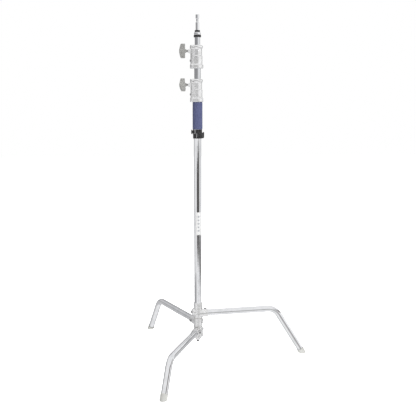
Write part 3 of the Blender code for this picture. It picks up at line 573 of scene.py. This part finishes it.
def leg_path(height):
    """A leg's centreline as (point, direction angle) pairs in its own XZ plane."""
    foot_slope = math.tan(LEG_SLOPE)
    corner_run = (FOOT_REACH - height / foot_slope) / (
        math.cos(LEG_RISE) + math.sin(LEG_RISE) / foot_slope
    )
    rise = Vector((math.cos(LEG_RISE), 0.0, math.sin(LEG_RISE)))
    drop = Vector((math.cos(LEG_SLOPE), 0.0, -math.sin(LEG_SLOPE)))
    bend_start = rise * (corner_run - LEG_BEND * math.tan((LEG_RISE + LEG_SLOPE) / 2))
    centre = bend_start + Vector((math.sin(LEG_RISE), 0.0, -math.cos(LEG_RISE))) * LEG_BEND
    steps = 30
    path = [(rise * (LEG_ROOT + GAP), LEG_RISE)]
    for step in range(steps + 1):
        angle = LEG_RISE - (LEG_RISE + LEG_SLOPE) * step / steps
        outward = Vector((-math.sin(angle), 0.0, math.cos(angle)))
        path.append((centre + outward * LEG_BEND, angle))
    foot = Vector((FOOT_REACH, 0.0, -height))
    path.append((foot - drop * (FOOT_FLOOR + GAP), -LEG_SLOPE))
    return path


def leg_tube(name, height):
    """A bent, open-ended tube, a little flattened round its bend as bent tube is."""
    sides = 56
    flattening = 0.025

    def section(point, angle, radius):
        share = (LEG_RISE - angle) / (LEG_RISE + LEG_SLOPE)
        flat = 1.0 - flattening * math.sin(math.pi * share)
        up = Vector((-math.sin(angle), 0.0, math.cos(angle))) * flat
        side = Vector((0.0, 1.0, 0.0))
        turns = [math.tau * index / sides for index in range(sides)]
        return [point + (side * math.cos(t) + up * math.sin(t)) * radius for t in turns]

    path = leg_path(height)
    outer = [section(point, angle, LEG_RADIUS) for point, angle in path]
    inner = [section(point, angle, LEG_RADIUS - LEG_WALL) for point, angle in reversed(path)]
    return loft(name, outer + inner, hollow=True)


def foot_cap(name):
    """A cup over the tube's end, cut level where it stands, with a rolled lip and a groove."""
    outer = LEG_RADIUS + GAP + FOOT_WALL
    inner = LEG_RADIUS + GAP
    groove = 0.7 * MM
    corners = [(0, -outer, 0), (outer - 0.6 * MM, -outer, 0), (outer - 0.6 * MM, 22 * MM, 2 * MM)]
    corners += [(outer - 0.6 * MM - groove, 24 * MM, groove), (outer, 26.5 * MM, 1 * MM)]
    corners += [(outer, FOOT_TALL, 1.1 * MM), (inner, FOOT_TALL, 0.3 * MM), (inner, FOOT_FLOOR, 0)]
    corners += [(0, FOOT_FLOOR, 0)]
    bm = bmesh.new()
    bm.from_mesh(lathe(name, corners, sides=56))
    up = Vector((math.cos(LEG_SLOPE), 0.0, math.sin(LEG_SLOPE)))
    sliced = bmesh.ops.bisect_plane(
        bm,
        geom=list(bm.verts) + list(bm.edges) + list(bm.faces),
        plane_co=(0.0, 0.0, 0.0),
        plane_no=up,
        clear_inner=True,
    )
    rim = [item for item in sliced["geom_cut"] if isinstance(item, bmesh.types.BMEdge)]
    bmesh.ops.edgeloop_fill(bm, edges=rim)
    return finished(bm, name)


def leg_place(leg):
    """Where a leg's centreline meets the post."""
    return STAND @ shift(0, 0, LEG_HEIGHTS[leg]) @ turn("Z", LEG_TURNS[leg])


def socket_place(leg):
    """The same place with Z out along the leg."""
    return leg_place(leg) @ turn("Y", UPRIGHT - LEG_RISE)


def screw_turn(leg):
    """The fixing screw is on top of the top leg's socket and beside the others."""
    return turn("Y", -UPRIGHT) if leg == "top_leg" else turn("X", -UPRIGHT)


def hub(leg, low, high, extra_joins=(), extra_cuts=(), flared=False):
    """A hub casting with its socket, shown on its leg's place."""
    corners = [(0, low, 0), (HUB_RADIUS, low, 1.5 * MM)]
    if flared:
        bead = 22.3 * MM
        bead_low = high - 19 * MM
        corners += [(HUB_RADIUS, bead_low, 1 * MM), (bead, bead_low + 2 * MM, 1 * MM)]
        corners += [(bead, high - 4 * MM, 2 * MM), (bead - 3 * MM, high, 1 * MM), (0, high, 0)]
    else:
        corners += [(HUB_RADIUS, high, 1.5 * MM), (0, high, 0)]
    reach = SOCKET_REACHES[leg]
    along = turn("Y", UPRIGHT - LEG_RISE)
    sides = [(SOCKET_RADIUS, 5 * MM, 0), (SOCKET_RADIUS, reach, 2.2 * MM)]
    socket = lathe(leg + "_socket", [(0, 5 * MM, 0), *sides, (0, reach, 0)])
    socket_bore = rod(leg + "_socket_bore", LEG_RADIUS + GAP, LEG_ROOT, 2 * reach)
    screw_hole = rod(leg + "_screw_hole", LEG_SCREW_RADIUS + GAP, 10 * MM, 30 * MM)
    joins = [(socket, along), *extra_joins]
    at_screw = along @ shift(0, 0, SOCKET_SCREW_AT) @ screw_turn(leg) @ OFF_GRID
    cuts = [(socket_bore, along @ OFF_GRID), (screw_hole, at_screw), *extra_cuts]
    body = lathe(leg + "_hub", corners)
    mesh = worked(leg + "_hub", body, joins, cuts, voxel=CAST_GRAIN, soften=3)
    show(leg + "_hub", mesh, leg_place(leg))


def leg(name):
    """A leg's tube, foot and fixing screw."""
    height = LEG_HEIGHTS[name]
    show(name + "_tube", leg_tube(name + "_tube", height), leg_place(name))
    lean = LEG_SLOPE - UPRIGHT
    foot_place = leg_place(name) @ shift(FOOT_REACH, 0, -height) @ turn("Y", lean)
    show(name + "_foot", foot_cap(name + "_foot"), foot_place)
    seat = socket_place(name) @ shift(0, 0, SOCKET_SCREW_AT) @ screw_turn(name)
    length = SOCKET_RADIUS - LEG_RADIUS
    at_head = seat @ shift(0, 0, SOCKET_RADIUS + GAP)
    cap_screw(name + "_screw", LEG_SCREW_RADIUS, length, at_head)


def top_hub():
    """The fixed hub: it holds the column, the post and the clamp bolt's boss."""
    name = "top_leg"
    low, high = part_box(name + "_hub")
    base = LEG_HEIGHTS[name]
    low, high = low.z - base, high.z - base
    clamp = turn("Y", -UPRIGHT)
    clamp_height = CLAMP_BOSS_HEIGHT - base
    boss_end = 29.5 * MM
    boss_radius = 18 * MM
    boss = lathe(
        "clamp_boss",
        [
            (0, 5 * MM, 0),
            (boss_radius, 5 * MM, 0),
            (boss_radius, 23 * MM, 3 * MM),
            (13 * MM, boss_end, 2 * MM),
            (0, boss_end, 0),
        ],
    )
    step = COLUMN[0].z - GAP - base
    column_hole = (COLUMN[1].x - COLUMN[0].x) / 2 + GAP
    bore = [(0, low - MM, 0), (POST_RADIUS + GAP, low - MM, 0), (POST_RADIUS + GAP, step, 0)]
    bore += [(column_hole, step, 0), (column_hole, high + MM, 0), (0, high + MM, 0)]
    bolt_hole = rod("clamp_hole", CLAMP_BOLT_RADIUS + GAP, 12 * MM, 2 * boss_end)
    at_clamp = shift(0, 0, clamp_height) @ clamp
    hub(
        name,
        low,
        high,
        extra_joins=[(boss, at_clamp)],
        extra_cuts=[(lathe("column_bore", bore), OFF_GRID), (bolt_hole, at_clamp @ OFF_GRID)],
        flared=True,
    )
    length = boss_end - column_hole
    clamp_place = STAND @ shift(0, 0, base + clamp_height) @ clamp @ shift(0, 0, boss_end + GAP)
    cap_screw("column_clamp_bolt", CLAMP_BOLT_RADIUS, length, clamp_place)


def middle_hub():
    """The middle hub, with the ears and slot of its release lever."""
    name = "middle_leg"
    half_low = -LEG_PITCH / 2 + 0.5 * MM + GAP
    half_high = -half_low
    seat = shift(0, 0, 12 * MM) @ turn("Z", math.radians(-24) - LEG_SPREAD)
    pivot = 22.5 * MM
    ears = block("lever_ears", (14 * MM, -5 * MM, -6 * MM), (25.8 * MM, 5 * MM, 5 * MM))
    slot = block("lever_slot", (19.2 * MM, -2.7 * MM, -9 * MM), (31 * MM, 2.7 * MM, 6.5 * MM))
    bore = rod("middle_bore", POST_RADIUS + GAP, 2 * half_low, 2 * half_high)
    hub(
        name,
        half_low,
        half_high,
        extra_joins=[(ears, seat)],
        extra_cuts=[(slot, seat), (bore, OFF_GRID)],
    )
    corners = [(-2.4, 3.2, 1.0), (-2.4, -2.2, 0.6), (0.2, -5.2, 1.0), (1.4, -9.0, 1.0)]
    corners += [(1.6, -18.6, 0.8), (4.4, -19.2, 1.0), (5.0, -15.0, 1.0), (3.6, -3.0, 1.5)]
    corners += [(2.6, 3.2, 1.0)]
    outline = [(x * MM, z * MM, rounding * MM) for x, z, rounding in corners]
    lever = worked("lever", plate("lever", outline, 2.2 * MM), bevel=0.5 * MM)
    show("release_lever", lever, leg_place(name) @ seat @ shift(pivot, 0, 0))


def low_hub():
    """The low hub, with its release button's housing and the spring's cavity."""
    name = "low_leg"
    base = LEG_HEIGHTS[name]
    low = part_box(name + "_hub")[0].z - base
    high = LEG_PITCH / 2 - 0.5 * MM - GAP
    seat = turn("Z", LEG_SPREAD - math.radians(20))
    housing_radius = 6.5 * MM
    housing = lathe(
        "button_housing",
        [
            (0, low, 0),
            (housing_radius, low, 1 * MM),
            (housing_radius, high - 3 * MM, 1.5 * MM),
            (4.5 * MM, high, 1 * MM),
            (0, high, 0),
        ],
    )
    cavity = 17.5 * MM
    ceiling = low + 9 * MM
    bore = [(0, low - MM, 0), (cavity, low - MM, 0), (cavity, ceiling, 0)]
    bore += [(POST_RADIUS + GAP, ceiling, 0), (POST_RADIUS + GAP, high + MM, 0)]
    bore += [(0, high + MM, 0)]
    at_button = seat @ shift(0, 0, 9 * MM) @ turn("Y", UPRIGHT)
    button_hole = rod("button_hole", 3.5 * MM, 17 * MM, 32 * MM)
    hub(
        name,
        low,
        high,
        extra_joins=[(housing, seat @ shift(19.5 * MM, 0, 0))],
        extra_cuts=[(lathe("low_bore", bore), OFF_GRID), (button_hole, at_button @ OFF_GRID)],
    )
    inner_end, outer_end, radius = 20 * MM, 29 * MM, 3.2 * MM
    corners = [(0, inner_end, 0), (radius, inner_end, 0.3 * MM), (radius, outer_end, 1.4 * MM)]
    corners += [(0, outer_end, 0)]
    button = lathe("release_button", corners)
    show("release_button", button, leg_place(name) @ at_button)


def base_stack():
    """The washer, nut and plug under the hubs."""
    low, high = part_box("bottom_washer")
    washer = hoop("bottom_washer", PIN_HOLE, (high.x - low.x) / 2, low.z, high.z, 0.8 * MM)
    show("bottom_washer", washer)
    low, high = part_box("bottom_nut")
    corners = [(PIN_HOLE, low.z, 0.3 * MM), (10 * MM, low.z, 1 * MM)]
    corners += [(12.5 * MM, low.z + 4 * MM, 2 * MM), (16.5 * MM, high.z - 4 * MM, 1.5 * MM)]
    corners += [(16.5 * MM, high.z, 1 * MM), (PIN_HOLE, high.z, 0)]
    show("bottom_nut", lathe("bottom_nut", corners))
    low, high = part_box("end_plug")
    corners = [(0, low.z, 0), (3 * MM, low.z + 0.3 * MM, 1.5 * MM)]
    corners += [(6 * MM, low.z + 4 * MM, 2 * MM), (7 * MM, low.z + 8 * MM, 1 * MM)]
    corners += [(7 * MM, high.z, 0.5 * MM), (0, high.z, 0)]
    show("end_plug", lathe("end_plug", corners))


# ---------------------------------------------------------------- column fittings


def sleeve():
    """The blue grip: a soft sleeve that isn't quite even, with rolled ends."""
    low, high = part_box("grip_sleeve")
    outer = (high.x - low.x) / 2
    inner = outer - 5.6 * MM
    levels = 60
    sides = ROUND_SIDES
    rings = []
    for step in range(levels + 1):
        z = low.z + (high.z - low.z) * step / levels
        end = min(z - low.z, high.z - z)
        lip = 2.2 * MM
        tuck = lip - math.sqrt(max(lip**2 - max(lip - end, 0.0) ** 2, 0.0))
        ring = []
        for index in range(sides):
            t = math.tau * index / sides
            way = Vector((math.cos(t), math.sin(t), 0.0))
            dent = noise.noise(way * 1.6 + Vector((0, 0, z * 38))) * 0.18 * MM
            radius = outer - 0.2 * MM - tuck + dent
            ring.append((way.x * radius, way.y * radius, z))
        rings.append(ring)
    for z in (high.z, low.z):
        rings.append(
            [
                (inner * math.cos(math.tau * i / sides), inner * math.sin(math.tau * i / sides), z)
                for i in range(sides)
            ]
        )
    show("grip_sleeve", loft("grip_sleeve", rings, hollow=True))


def label():
    """A thin film wrapped part of the way round the column, with rounded corners."""
    low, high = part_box("column_label")
    radius = (COLUMN[1].x - COLUMN[0].x) / 2
    middle, half = math.radians(-82), math.radians(44)
    corner = 3 * MM
    columns = 40
    bm = bmesh.new()
    strips = []
    for step in range(columns + 1):
        share = step / columns * 2 - 1
        t = middle + half * share
        inset = corner - (1 - abs(share)) * half * radius
        tuck = 0.0
        if inset > 0:
            tuck = corner - math.sqrt(max(corner**2 - inset**2, 0.0))
        near, far = radius + 0.3 * MM, radius + 0.6 * MM
        bottom, top = low.z + tuck, high.z - tuck
        spots = [(near, bottom), (far, bottom), (far, top), (near, top)]
        strips.append([bm.verts.new((r * math.cos(t), r * math.sin(t), z)) for r, z in spots])
    for left, right in zip(strips, strips[1:]):
        for index in range(4):
            after = (index + 1) % 4
            bm.faces.new((left[index], left[after], right[after], right[index]))
    bm.faces.new(strips[0])
    bm.faces.new(strips[-1])
    show("column_label", finished(bm, "column_label"))


def clip():
    """The black split clip: collar with window and slits, knurled knob and hook."""
    low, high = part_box("clip_collar")
    tall = high.z - low.z
    place = STAND @ shift(0, 0, low.z) @ turn("Z", CLIP_TURN)
    outer = 21.6 * MM
    inner = (COLUMN[1].x - COLUMN[0].x) / 2 + GAP
    body = hoop("clip_collar", inner, outer, 0, tall, 1.2 * MM, sides=ROUND_SIDES)
    slit = 1.5 * MM
    bridge = 4 * MM
    openings = (
        ("split", 82, 7 * MM, -MM, tall + MM),
        ("window", -138, 6 * MM, 22 * MM, tall + MM),
        ("slit_left", -103, slit, bridge, 24 * MM),
        ("slit_right", -68, slit, bridge, tall + MM),
    )
    cuts = [
        (
            block(name, (10 * MM, -half, bottom), (2 * outer, half, top)),
            turn("Z", math.radians(degrees)),
        )
        for name, degrees, half, bottom, top in openings
    ]
    knob_axis = shift(0, 0, 31 * MM) @ turn("Y", -UPRIGHT)
    boss = rod("stem_boss", 5 * MM, 19 * MM, 23 * MM)
    cuts.append((rod("stem_hole", 2.8 * MM, 10 * MM, 2 * outer), knob_axis))
    mesh = worked("clip_collar", body, [(boss, knob_axis)], cuts, voxel=0.5 * MM, soften=2)
    show("clip_collar", mesh, place)

    corners = [(0, 18.2, 0), (2.5, 18.2, 0.3), (2.5, 23.3, 0), (8, 23.3, 1), (11, 25.3, 1)]
    corners += [(11, 27.9, 1), (8, 29.8, 1), (3.5, 30.4, 1), (0, 29.6, 0)]
    knob = lathe("clip_knob", [(r * MM, z * MM, rounding * MM) for r, z, rounding in corners], 120)
    for vertex in knob.vertices:
        radius = math.hypot(vertex.co.x, vertex.co.y)
        if radius > 9.6 * MM:
            wave = math.cos(math.atan2(vertex.co.y, vertex.co.x) * 20)
            vertex.co.xy *= 1.0 - 0.035 * (1 - wave)
    show("clip_knob", knob, place @ knob_axis)

    corners = [(21.9, 1, 0.4), (28, 1, 1.5), (31, 6, 3), (31, 29, 1.5), (27, 31, 1.2)]
    corners += [(24.5, 29, 1), (21.9, 25, 0.4)]
    outline = [(x * MM, z * MM, rounding * MM) for x, z, rounding in corners]
    hook = worked("clip_hook", plate("clip_hook", outline, 6 * MM), bevel=0.9 * MM)
    show("clip_hook", hook, place)


# ---------------------------------------------------------------- lock collars


def collar_outline(barrel, proud):
    """A round barrel with a rounded rib on its -X side."""
    barrel = barrel + proud
    reach = RIB_REACH + proud / 2
    half = RIB_HALF + proud / 2
    crease = math.pi - math.asin(half / barrel)
    corner = reach - RIB_CORNER
    outline = arc((0.0, 0.0), barrel, -crease, crease, 72)
    outline += arc((-corner, half - RIB_CORNER), RIB_CORNER, math.pi / 2, math.pi, 8)
    outline += arc((-corner, RIB_CORNER - half), RIB_CORNER, math.pi, 1.5 * math.pi, 8)
    return outline


def casting(name, low_bore, high_bore, tall):
    """A lock casting's skin: flange, lower barrel, upper barrel and round top bead."""
    proud = 4.0 * MM
    levels = [
        (BARREL_LOW, proud * 0.7, 0.0),
        (BARREL_LOW, proud, 1.5 * MM),
        (BARREL_LOW, proud, 15 * MM),
        (BARREL_LOW, proud * 0.75, 17.5 * MM),
        (BARREL_LOW, 0.0, 20 * MM),
        (BARREL_LOW, 0.0, 57 * MM),
        (BARREL_HIGH, 0.0, 59 * MM),
        (BARREL_HIGH, 0.0, tall - 18 * MM),
        (BARREL_HIGH, proud * 0.8, tall - 14.5 * MM),
        (BARREL_HIGH, proud, tall - 10 * MM),
        (BARREL_HIGH, proud * 0.95, tall - 5 * MM),
        (BARREL_HIGH, proud * 0.7, tall - 1.8 * MM),
        (BARREL_HIGH, proud * 0.3, tall),
    ]
    sections = []
    for barrel, stand_out, height in levels:
        sections.append([(x, y, height) for x, y in collar_outline(barrel, stand_out)])
    around = [math.atan2(y, x) for x, y in collar_outline(BARREL_LOW, 0.0)]
    for radius, height in (
        (high_bore, tall),
        (high_bore, COLLAR_STEP),
        (low_bore, COLLAR_STEP),
        (low_bore, 0.0),
    ):
        sections.append([(radius * math.cos(t), radius * math.sin(t), height) for t in around])
    return loft(name, sections, hollow=True)


def t_handle(tube_name, lock_place):
    """The T-handle: a thick bar with a bulging face and a round hub through it."""
    shoulder = 20 * MM
    rise = HANDLE_DEEP - shoulder
    bulge_radius = (HANDLE_HALF**2 + rise**2) / (2 * rise)
    half_turn = math.asin(HANDLE_HALF / bulge_radius)
    outline = [(-HANDLE_HALF, 1.5 * MM), (HANDLE_HALF, 1.5 * MM)]
    outline += arc(
        (0.0, HANDLE_DEEP - bulge_radius),
        bulge_radius,
        UPRIGHT - half_turn,
        UPRIGHT + half_turn,
        24,
    )
    half = HANDLE_THICK / 2
    bar = loft("handle_bar", [[(x, y, z) for x, z in outline] for y in (-half, half)])
    corners = [(0, -8, 0), (4.8, -8, 0.8), (9.5, 0, 1.5), (10.6, 3, 1.5), (10.6, 25, 1.5)]
    corners += [(9, 27.8, 1), (0, 27.8, 0)]
    round_hub = lathe("handle_hub", [(r * MM, z * MM, rounding * MM) for r, z, rounding in corners])
    bore = rod("handle_bore", LOCK_SCREW_RADIUS + GAP, -12 * MM, 14 * MM)
    dimple = rod("handle_dimple", 5.5 * MM, HANDLE_DEEP - 1.2 * MM, 2 * HANDLE_DEEP)
    here = Matrix.Identity(4)
    mesh = worked(
        tube_name + "_t_handle",
        bar,
        joins=[(round_hub, here)],
        cuts=[(bore, here), (dimple, here)],
        voxel=0.6 * MM,
        soften=7,
    )
    place = lock_place @ shift(0, 0, HANDLE_AT) @ turn("Z", HANDLE_TURNS[tube_name])
    show(tube_name + "_t_handle", mesh, place)


def lock_screw(tube_name, lock_place):
    """The threaded lock screw."""
    node = tube_name + "_lock_screw"
    low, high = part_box(node)
    near = AXIS_X - high.x
    far = AXIS_X - low.x
    pitch = 1.25 * MM
    corners = [(0, near, 0)]
    height = near
    while height + pitch < far:
        corners += [(LOCK_SCREW_RADIUS - 0.6 * MM, height, 0)]
        corners += [(LOCK_SCREW_RADIUS, height + pitch / 2, 0)]
        height += pitch
    corners += [(LOCK_SCREW_RADIUS - 0.6 * MM, far, 0), (0, far, 0)]
    show(node, lathe(node, corners, sides=32), lock_place)


def collar(tube_name, riser_name):
    """A lock collar with its bolt, lock screw and handle."""
    node = tube_name + "_collar"
    low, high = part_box(node)
    widths = [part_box(name + "_tube") for name in (tube_name, riser_name)]
    tube_radius, riser_radius = [(box[1].x - box[0].x) / 2 for box in widths]
    tall = high.z - low.z
    skin = casting(node, tube_radius + GAP, riser_radius + GAP, tall)
    lock = turn("Y", -UPRIGHT)
    at_lock = shift(0, 0, LOCK_HEIGHT) @ lock
    boss_end = 46 * MM
    corners = [(0, 26, 0), (12, 26, 0), (10.8, 33, 2), (6.6, 46, 1), (0, 46, 0)]
    boss = lathe("lock_boss", [(r * MM, z * MM, rounding * MM) for r, z, rounding in corners])
    hole = rod("lock_hole", LOCK_SCREW_RADIUS + GAP, 8 * MM, 2 * boss_end)
    pocket = rod("shoe_pocket", 7.3 * MM, 8 * MM, 24 * MM)
    at_bolt = shift(0, 0, COLLAR_BOLT_HEIGHT) @ lock
    bolt_hole = rod("bolt_hole", 3 * MM + GAP, 10 * MM, 2 * RIB_REACH)
    mesh = worked(
        node,
        skin,
        joins=[(boss, at_lock)],
        cuts=[(hole, at_lock), (pocket, at_lock), (bolt_hole, at_bolt)],
        voxel=CAST_GRAIN,
        soften=4,
    )
    place = STAND @ shift(0, 0, low.z)
    show(node, mesh, place)
    cap_screw(
        tube_name + "_collar_bolt",
        3 * MM,
        RIB_REACH - tube_radius,
        place @ at_bolt @ shift(0, 0, RIB_REACH + GAP),
    )
    lock_screw(tube_name, place @ at_lock)
    t_handle(tube_name, place @ at_lock)


# ---------------------------------------------------------------- stud


def stud():
    """The stud and the rings that close the top riser's end."""
    riser_radius = (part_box("riser_2_tube")[1].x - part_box("riser_2_tube")[0].x) / 2
    low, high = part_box("bumper_ring")
    outer = (high.x - low.x) / 2
    show("bumper_ring", hoop("bumper_ring", riser_radius + GAP, outer, low.z, high.z, 4 * MM))
    low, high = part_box("stud_collar")
    outer = (high.x - low.x) / 2
    shelf = high.z - 3 * MM
    corners = [(riser_radius + GAP, low.z, 0), (outer - 0.6 * MM, low.z, 0.8 * MM)]
    corners += [(outer, low.z + 1.8 * MM, 1 * MM), (outer - 0.4 * MM, high.z - 1.8 * MM, 1 * MM)]
    corners += [(14 * MM, high.z, 0.8 * MM), (PIN_HOLE, high.z, 0.3 * MM), (PIN_HOLE, shelf, 0)]
    corners += [(riser_radius + GAP, shelf, 0)]
    show("stud_collar", lathe("stud_collar", corners))
    low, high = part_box("stud_ring")
    show("stud_ring", hoop("stud_ring", PIN_HOLE, (high.x - low.x) / 2, low.z, high.z, 2.4 * MM))
    low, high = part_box("baby_stud")
    root = (high.x - low.x) / 2
    radius = STUD_RADIUS
    waist = 5.6 * MM
    top = high.z
    corners = [(0, low.z, 0), (root, low.z, 0.5 * MM), (root, shelf - GAP, 0.3 * MM)]
    corners += [(radius, shelf - GAP, 0), (radius, top - 36 * MM, 0.4 * MM)]
    corners += [(waist, top - 33 * MM, 1 * MM), (waist, top - 19 * MM, 1 * MM)]
    corners += [(radius, top - 17 * MM, 0.4 * MM), (radius, top, 1.5 * MM), (0, top, 0)]
    show("baby_stud", lathe("baby_stud", corners, sides=72))


# ---------------------------------------------------------------- light and camera


def light_room():
    """A white room whose soft walls have a few dark flags, for the metal to mirror."""
    world = bpy.data.worlds.new("studio")
    bpy.context.scene.world = world
    world.use_nodes = True
    tree = world.node_tree
    tree.nodes.clear()

    def node(kind, **inputs):
        item = tree.nodes.new(kind)
        for name, value in inputs.items():
            socket = item.inputs[name.replace("_", " ")]
            if isinstance(value, bpy.types.NodeSocket):
                tree.links.new(value, socket)
            else:
                socket.default_value = value
        return item

    def calculate(operation, first, second=0.0):
        item = tree.nodes.new("ShaderNodeMath")
        item.operation = operation
        for socket, value in zip(item.inputs, (first, second)):
            if isinstance(value, bpy.types.NodeSocket):
                tree.links.new(value, socket)
            else:
                socket.default_value = value
        return item.outputs["Value"]

    def edge(value, low, high):
        item = node("ShaderNodeMapRange", Value=value, From_Min=low, From_Max=high)
        item.interpolation_type = "SMOOTHSTEP"
        return item.outputs["Result"]

    def window(value, low, high, soft):
        rising = edge(value, low - soft, low + soft)
        falling = edge(value, high + soft, high - soft)
        return calculate("MULTIPLY", rising, falling)

    way = node("ShaderNodeTexCoord").outputs["Generated"]
    parts = node("ShaderNodeSeparateXYZ", Vector=way)
    facing = math.atan2(CAMERA_PLACE[1], CAMERA_PLACE[0] - AXIS_X)

    def along(angle):
        east = calculate("MULTIPLY", parts.outputs["X"], math.cos(angle))
        north = calculate("MULTIPLY", parts.outputs["Y"], math.sin(angle))
        return calculate("ADD", east, north)

    # Bearing in degrees from the stand's front, positive to the right of the view.
    bearing = calculate("ARCTAN2", along(facing + UPRIGHT), along(facing))
    bearing = calculate("MULTIPLY", bearing, math.degrees(1.0))
    height = calculate("MULTIPLY", calculate("ARCSINE", parts.outputs["Z"]), math.degrees(1.0))
    shade = ROOM_GREY
    for low, high, side_soft, bottom, top, end_soft, amount, colour in FLAGS:
        across = window(bearing, low, high, side_soft)
        upright = window(height, bottom, top, end_soft)
        mask = calculate("MULTIPLY", across, upright)
        item = tree.nodes.new("ShaderNodeMix")
        item.data_type = "RGBA"
        tree.links.new(calculate("MULTIPLY", mask, amount), item.inputs["Factor"])
        colours = [socket for socket in item.inputs if socket.type == "RGBA"]
        if isinstance(shade, bpy.types.NodeSocket):
            tree.links.new(shade, colours[0])
        else:
            colours[0].default_value = (*shade, 1.0)
        colours[1].default_value = (*colour, 1.0)
        shade = [socket for socket in item.outputs if socket.type == "RGBA"][0]
    matt = node("ShaderNodeLightPath").outputs["Is Diffuse Ray"]
    dimmed = calculate("SUBTRACT", 1.0, calculate("MULTIPLY", matt, MATT_DIMMING))
    room = node("ShaderNodeBackground", Color=shade, Strength=dimmed)
    white = node("ShaderNodeBackground", Color=(1.0, 1.0, 1.0, 1.0))
    seen = node("ShaderNodeLightPath").outputs["Is Camera Ray"]
    both = tree.nodes.new("ShaderNodeMixShader")
    tree.links.new(seen, both.inputs[0])
    tree.links.new(room.outputs[0], both.inputs[1])
    tree.links.new(white.outputs[0], both.inputs[2])
    output = tree.nodes.new("ShaderNodeOutputWorld")
    tree.links.new(both.outputs[0], output.inputs["Surface"])


def lamp(name, place, target, size, power):
    """A soft square lamp that lights the stand and doesn't show in its metal."""
    data = bpy.data.lights.new(name, "AREA")
    data.size = size
    data.energy = power
    item = bpy.data.objects.new(name, data)
    bpy.context.scene.collection.objects.link(item)
    item.location = place
    item.rotation_euler = (Vector(target) - Vector(place)).to_track_quat("-Z", "Y").to_euler()
    item.visible_glossy = False


def floor():
    """A plain pale floor."""
    bm = bmesh.new()
    bmesh.ops.create_grid(bm, x_segments=1, y_segments=1, size=15.0)
    mesh = bpy.data.meshes.new("floor")
    bm.to_mesh(mesh)
    bm.free()
    item = bpy.data.objects.new("floor", mesh)
    bpy.context.scene.collection.objects.link(item)
    finish = Finish("floor")
    finish.set(Base_Color=(0.95, 0.95, 0.95, 1.0), Roughness=0.9, Specular_IOR_Level=0.0)
    finish.set(Emission_Color=(1.0, 1.0, 1.0, 1.0), Emission_Strength=0.9)
    mesh.materials.append(finish.material)
    item.location.z = -0.2 * MM
    item.visible_glossy = False


CAMERA_PLACE = (-0.5634, -3.2671, 1.2115)
CAMERA_BEARING = math.radians(-7.84)
CAMERA_DIP = math.radians(8.03)
CAMERA_LENS = 59.85

ROOM_GREY = (0.90, 0.90, 0.905)
MATT_DIMMING = 0.8  # share of the room's light that unpolished faces lose to the lamps
# (bearing low, high, softness, height low, high, softness, amount, colour), in degrees.
FLAGS = (
    (-150, -84, 12, -60, 40, 10, 0.8, (0.52, 0.52, 0.53)),
    (92, 200, 12, -60, 1, 2, 0.8, (0.60, 0.60, 0.61)),
    (-200, -150, 8, -60, 40, 10, 0.9, (0.36, 0.36, 0.37)),
    (40, 122, 10, 1.4, 14, 1.2, 1.0, (1.02, 1.02, 1.02)),
    (-165, 14, 16, 1.4, 12, 1.2, 0.95, (0.33, 0.33, 0.335)),
    (128, 200, 6, 1.4, 12, 1.2, 0.95, (0.16, 0.16, 0.16)),
    (-36, -16, 6, -12.2, -4.6, 1.5, 0.6, (0.20, 0.19, 0.18)),
    (16, 55, 4, -12.6, -2.5, 1.1, 0.97, (0.12, 0.115, 0.11)),
    (-22, 18, 4, -11.9, -3.6, 1.3, 0.97, (0.055, 0.05, 0.05)),
    (55, 100, 6, -14.2, -9.9, 1.0, 0.9, (0.15, 0.145, 0.14)),
    (95, 200, 6, -14.2, -9.6, 1.0, 0.85, (0.34, 0.34, 0.34)),
    (-132, -44, 6, -17.5, -13.6, 0.6, 0.85, (0.34, 0.34, 0.35)),
    (2, 38, 10, -26, -17.5, 1.2, 0.8, (0.16, 0.155, 0.15)),
    (42, 108, 6, 14, 29, 2.5, 0.95, (0.12, 0.10, 0.095)),
)


def camera():
    """The camera at the stand's usual view."""
    data = bpy.data.cameras.new("camera")
    data.lens = CAMERA_LENS
    data.sensor_width = 36.0
    item = bpy.data.objects.new("camera", data)
    bpy.context.scene.collection.objects.link(item)
    item.location = CAMERA_PLACE
    item.rotation_euler = (UPRIGHT - CAMERA_DIP, 0.0, CAMERA_BEARING)
    bpy.context.scene.camera = item


# ---------------------------------------------------------------- the whole scene

for node, item in frame["nodes"].items():
    item.data.materials.clear()
    item.data.materials.append(MATERIALS[NODE_SLOTS[node]])

tube("column_tube", "chrome")
tube("riser_1_tube", "riser_chrome")
tube("riser_2_tube", "riser_chrome")
for name in LEG_HEIGHTS:
    leg(name)
top_hub()
middle_hub()
low_hub()
base_stack()
sleeve()
label()
clip()
collar("column", "riser_1")
collar("riser_1", "riser_2")
stud()

camera()
light_room()
lamp("key_lamp", (1.6, -3.2, 2.7), (AXIS_X, 0, 0.8), 1.6, 115)
lamp("fill_lamp", (-2.9, -1.6, 2.4), (AXIS_X, 0, 0.7), 1.8, 9)
lamp("top_lamp", (0.0, 0.4, 4.0), (AXIS_X, 0, 0.0), 2.6, 85)
floor()
bpy.context.scene.view_settings.view_transform = "Standard"
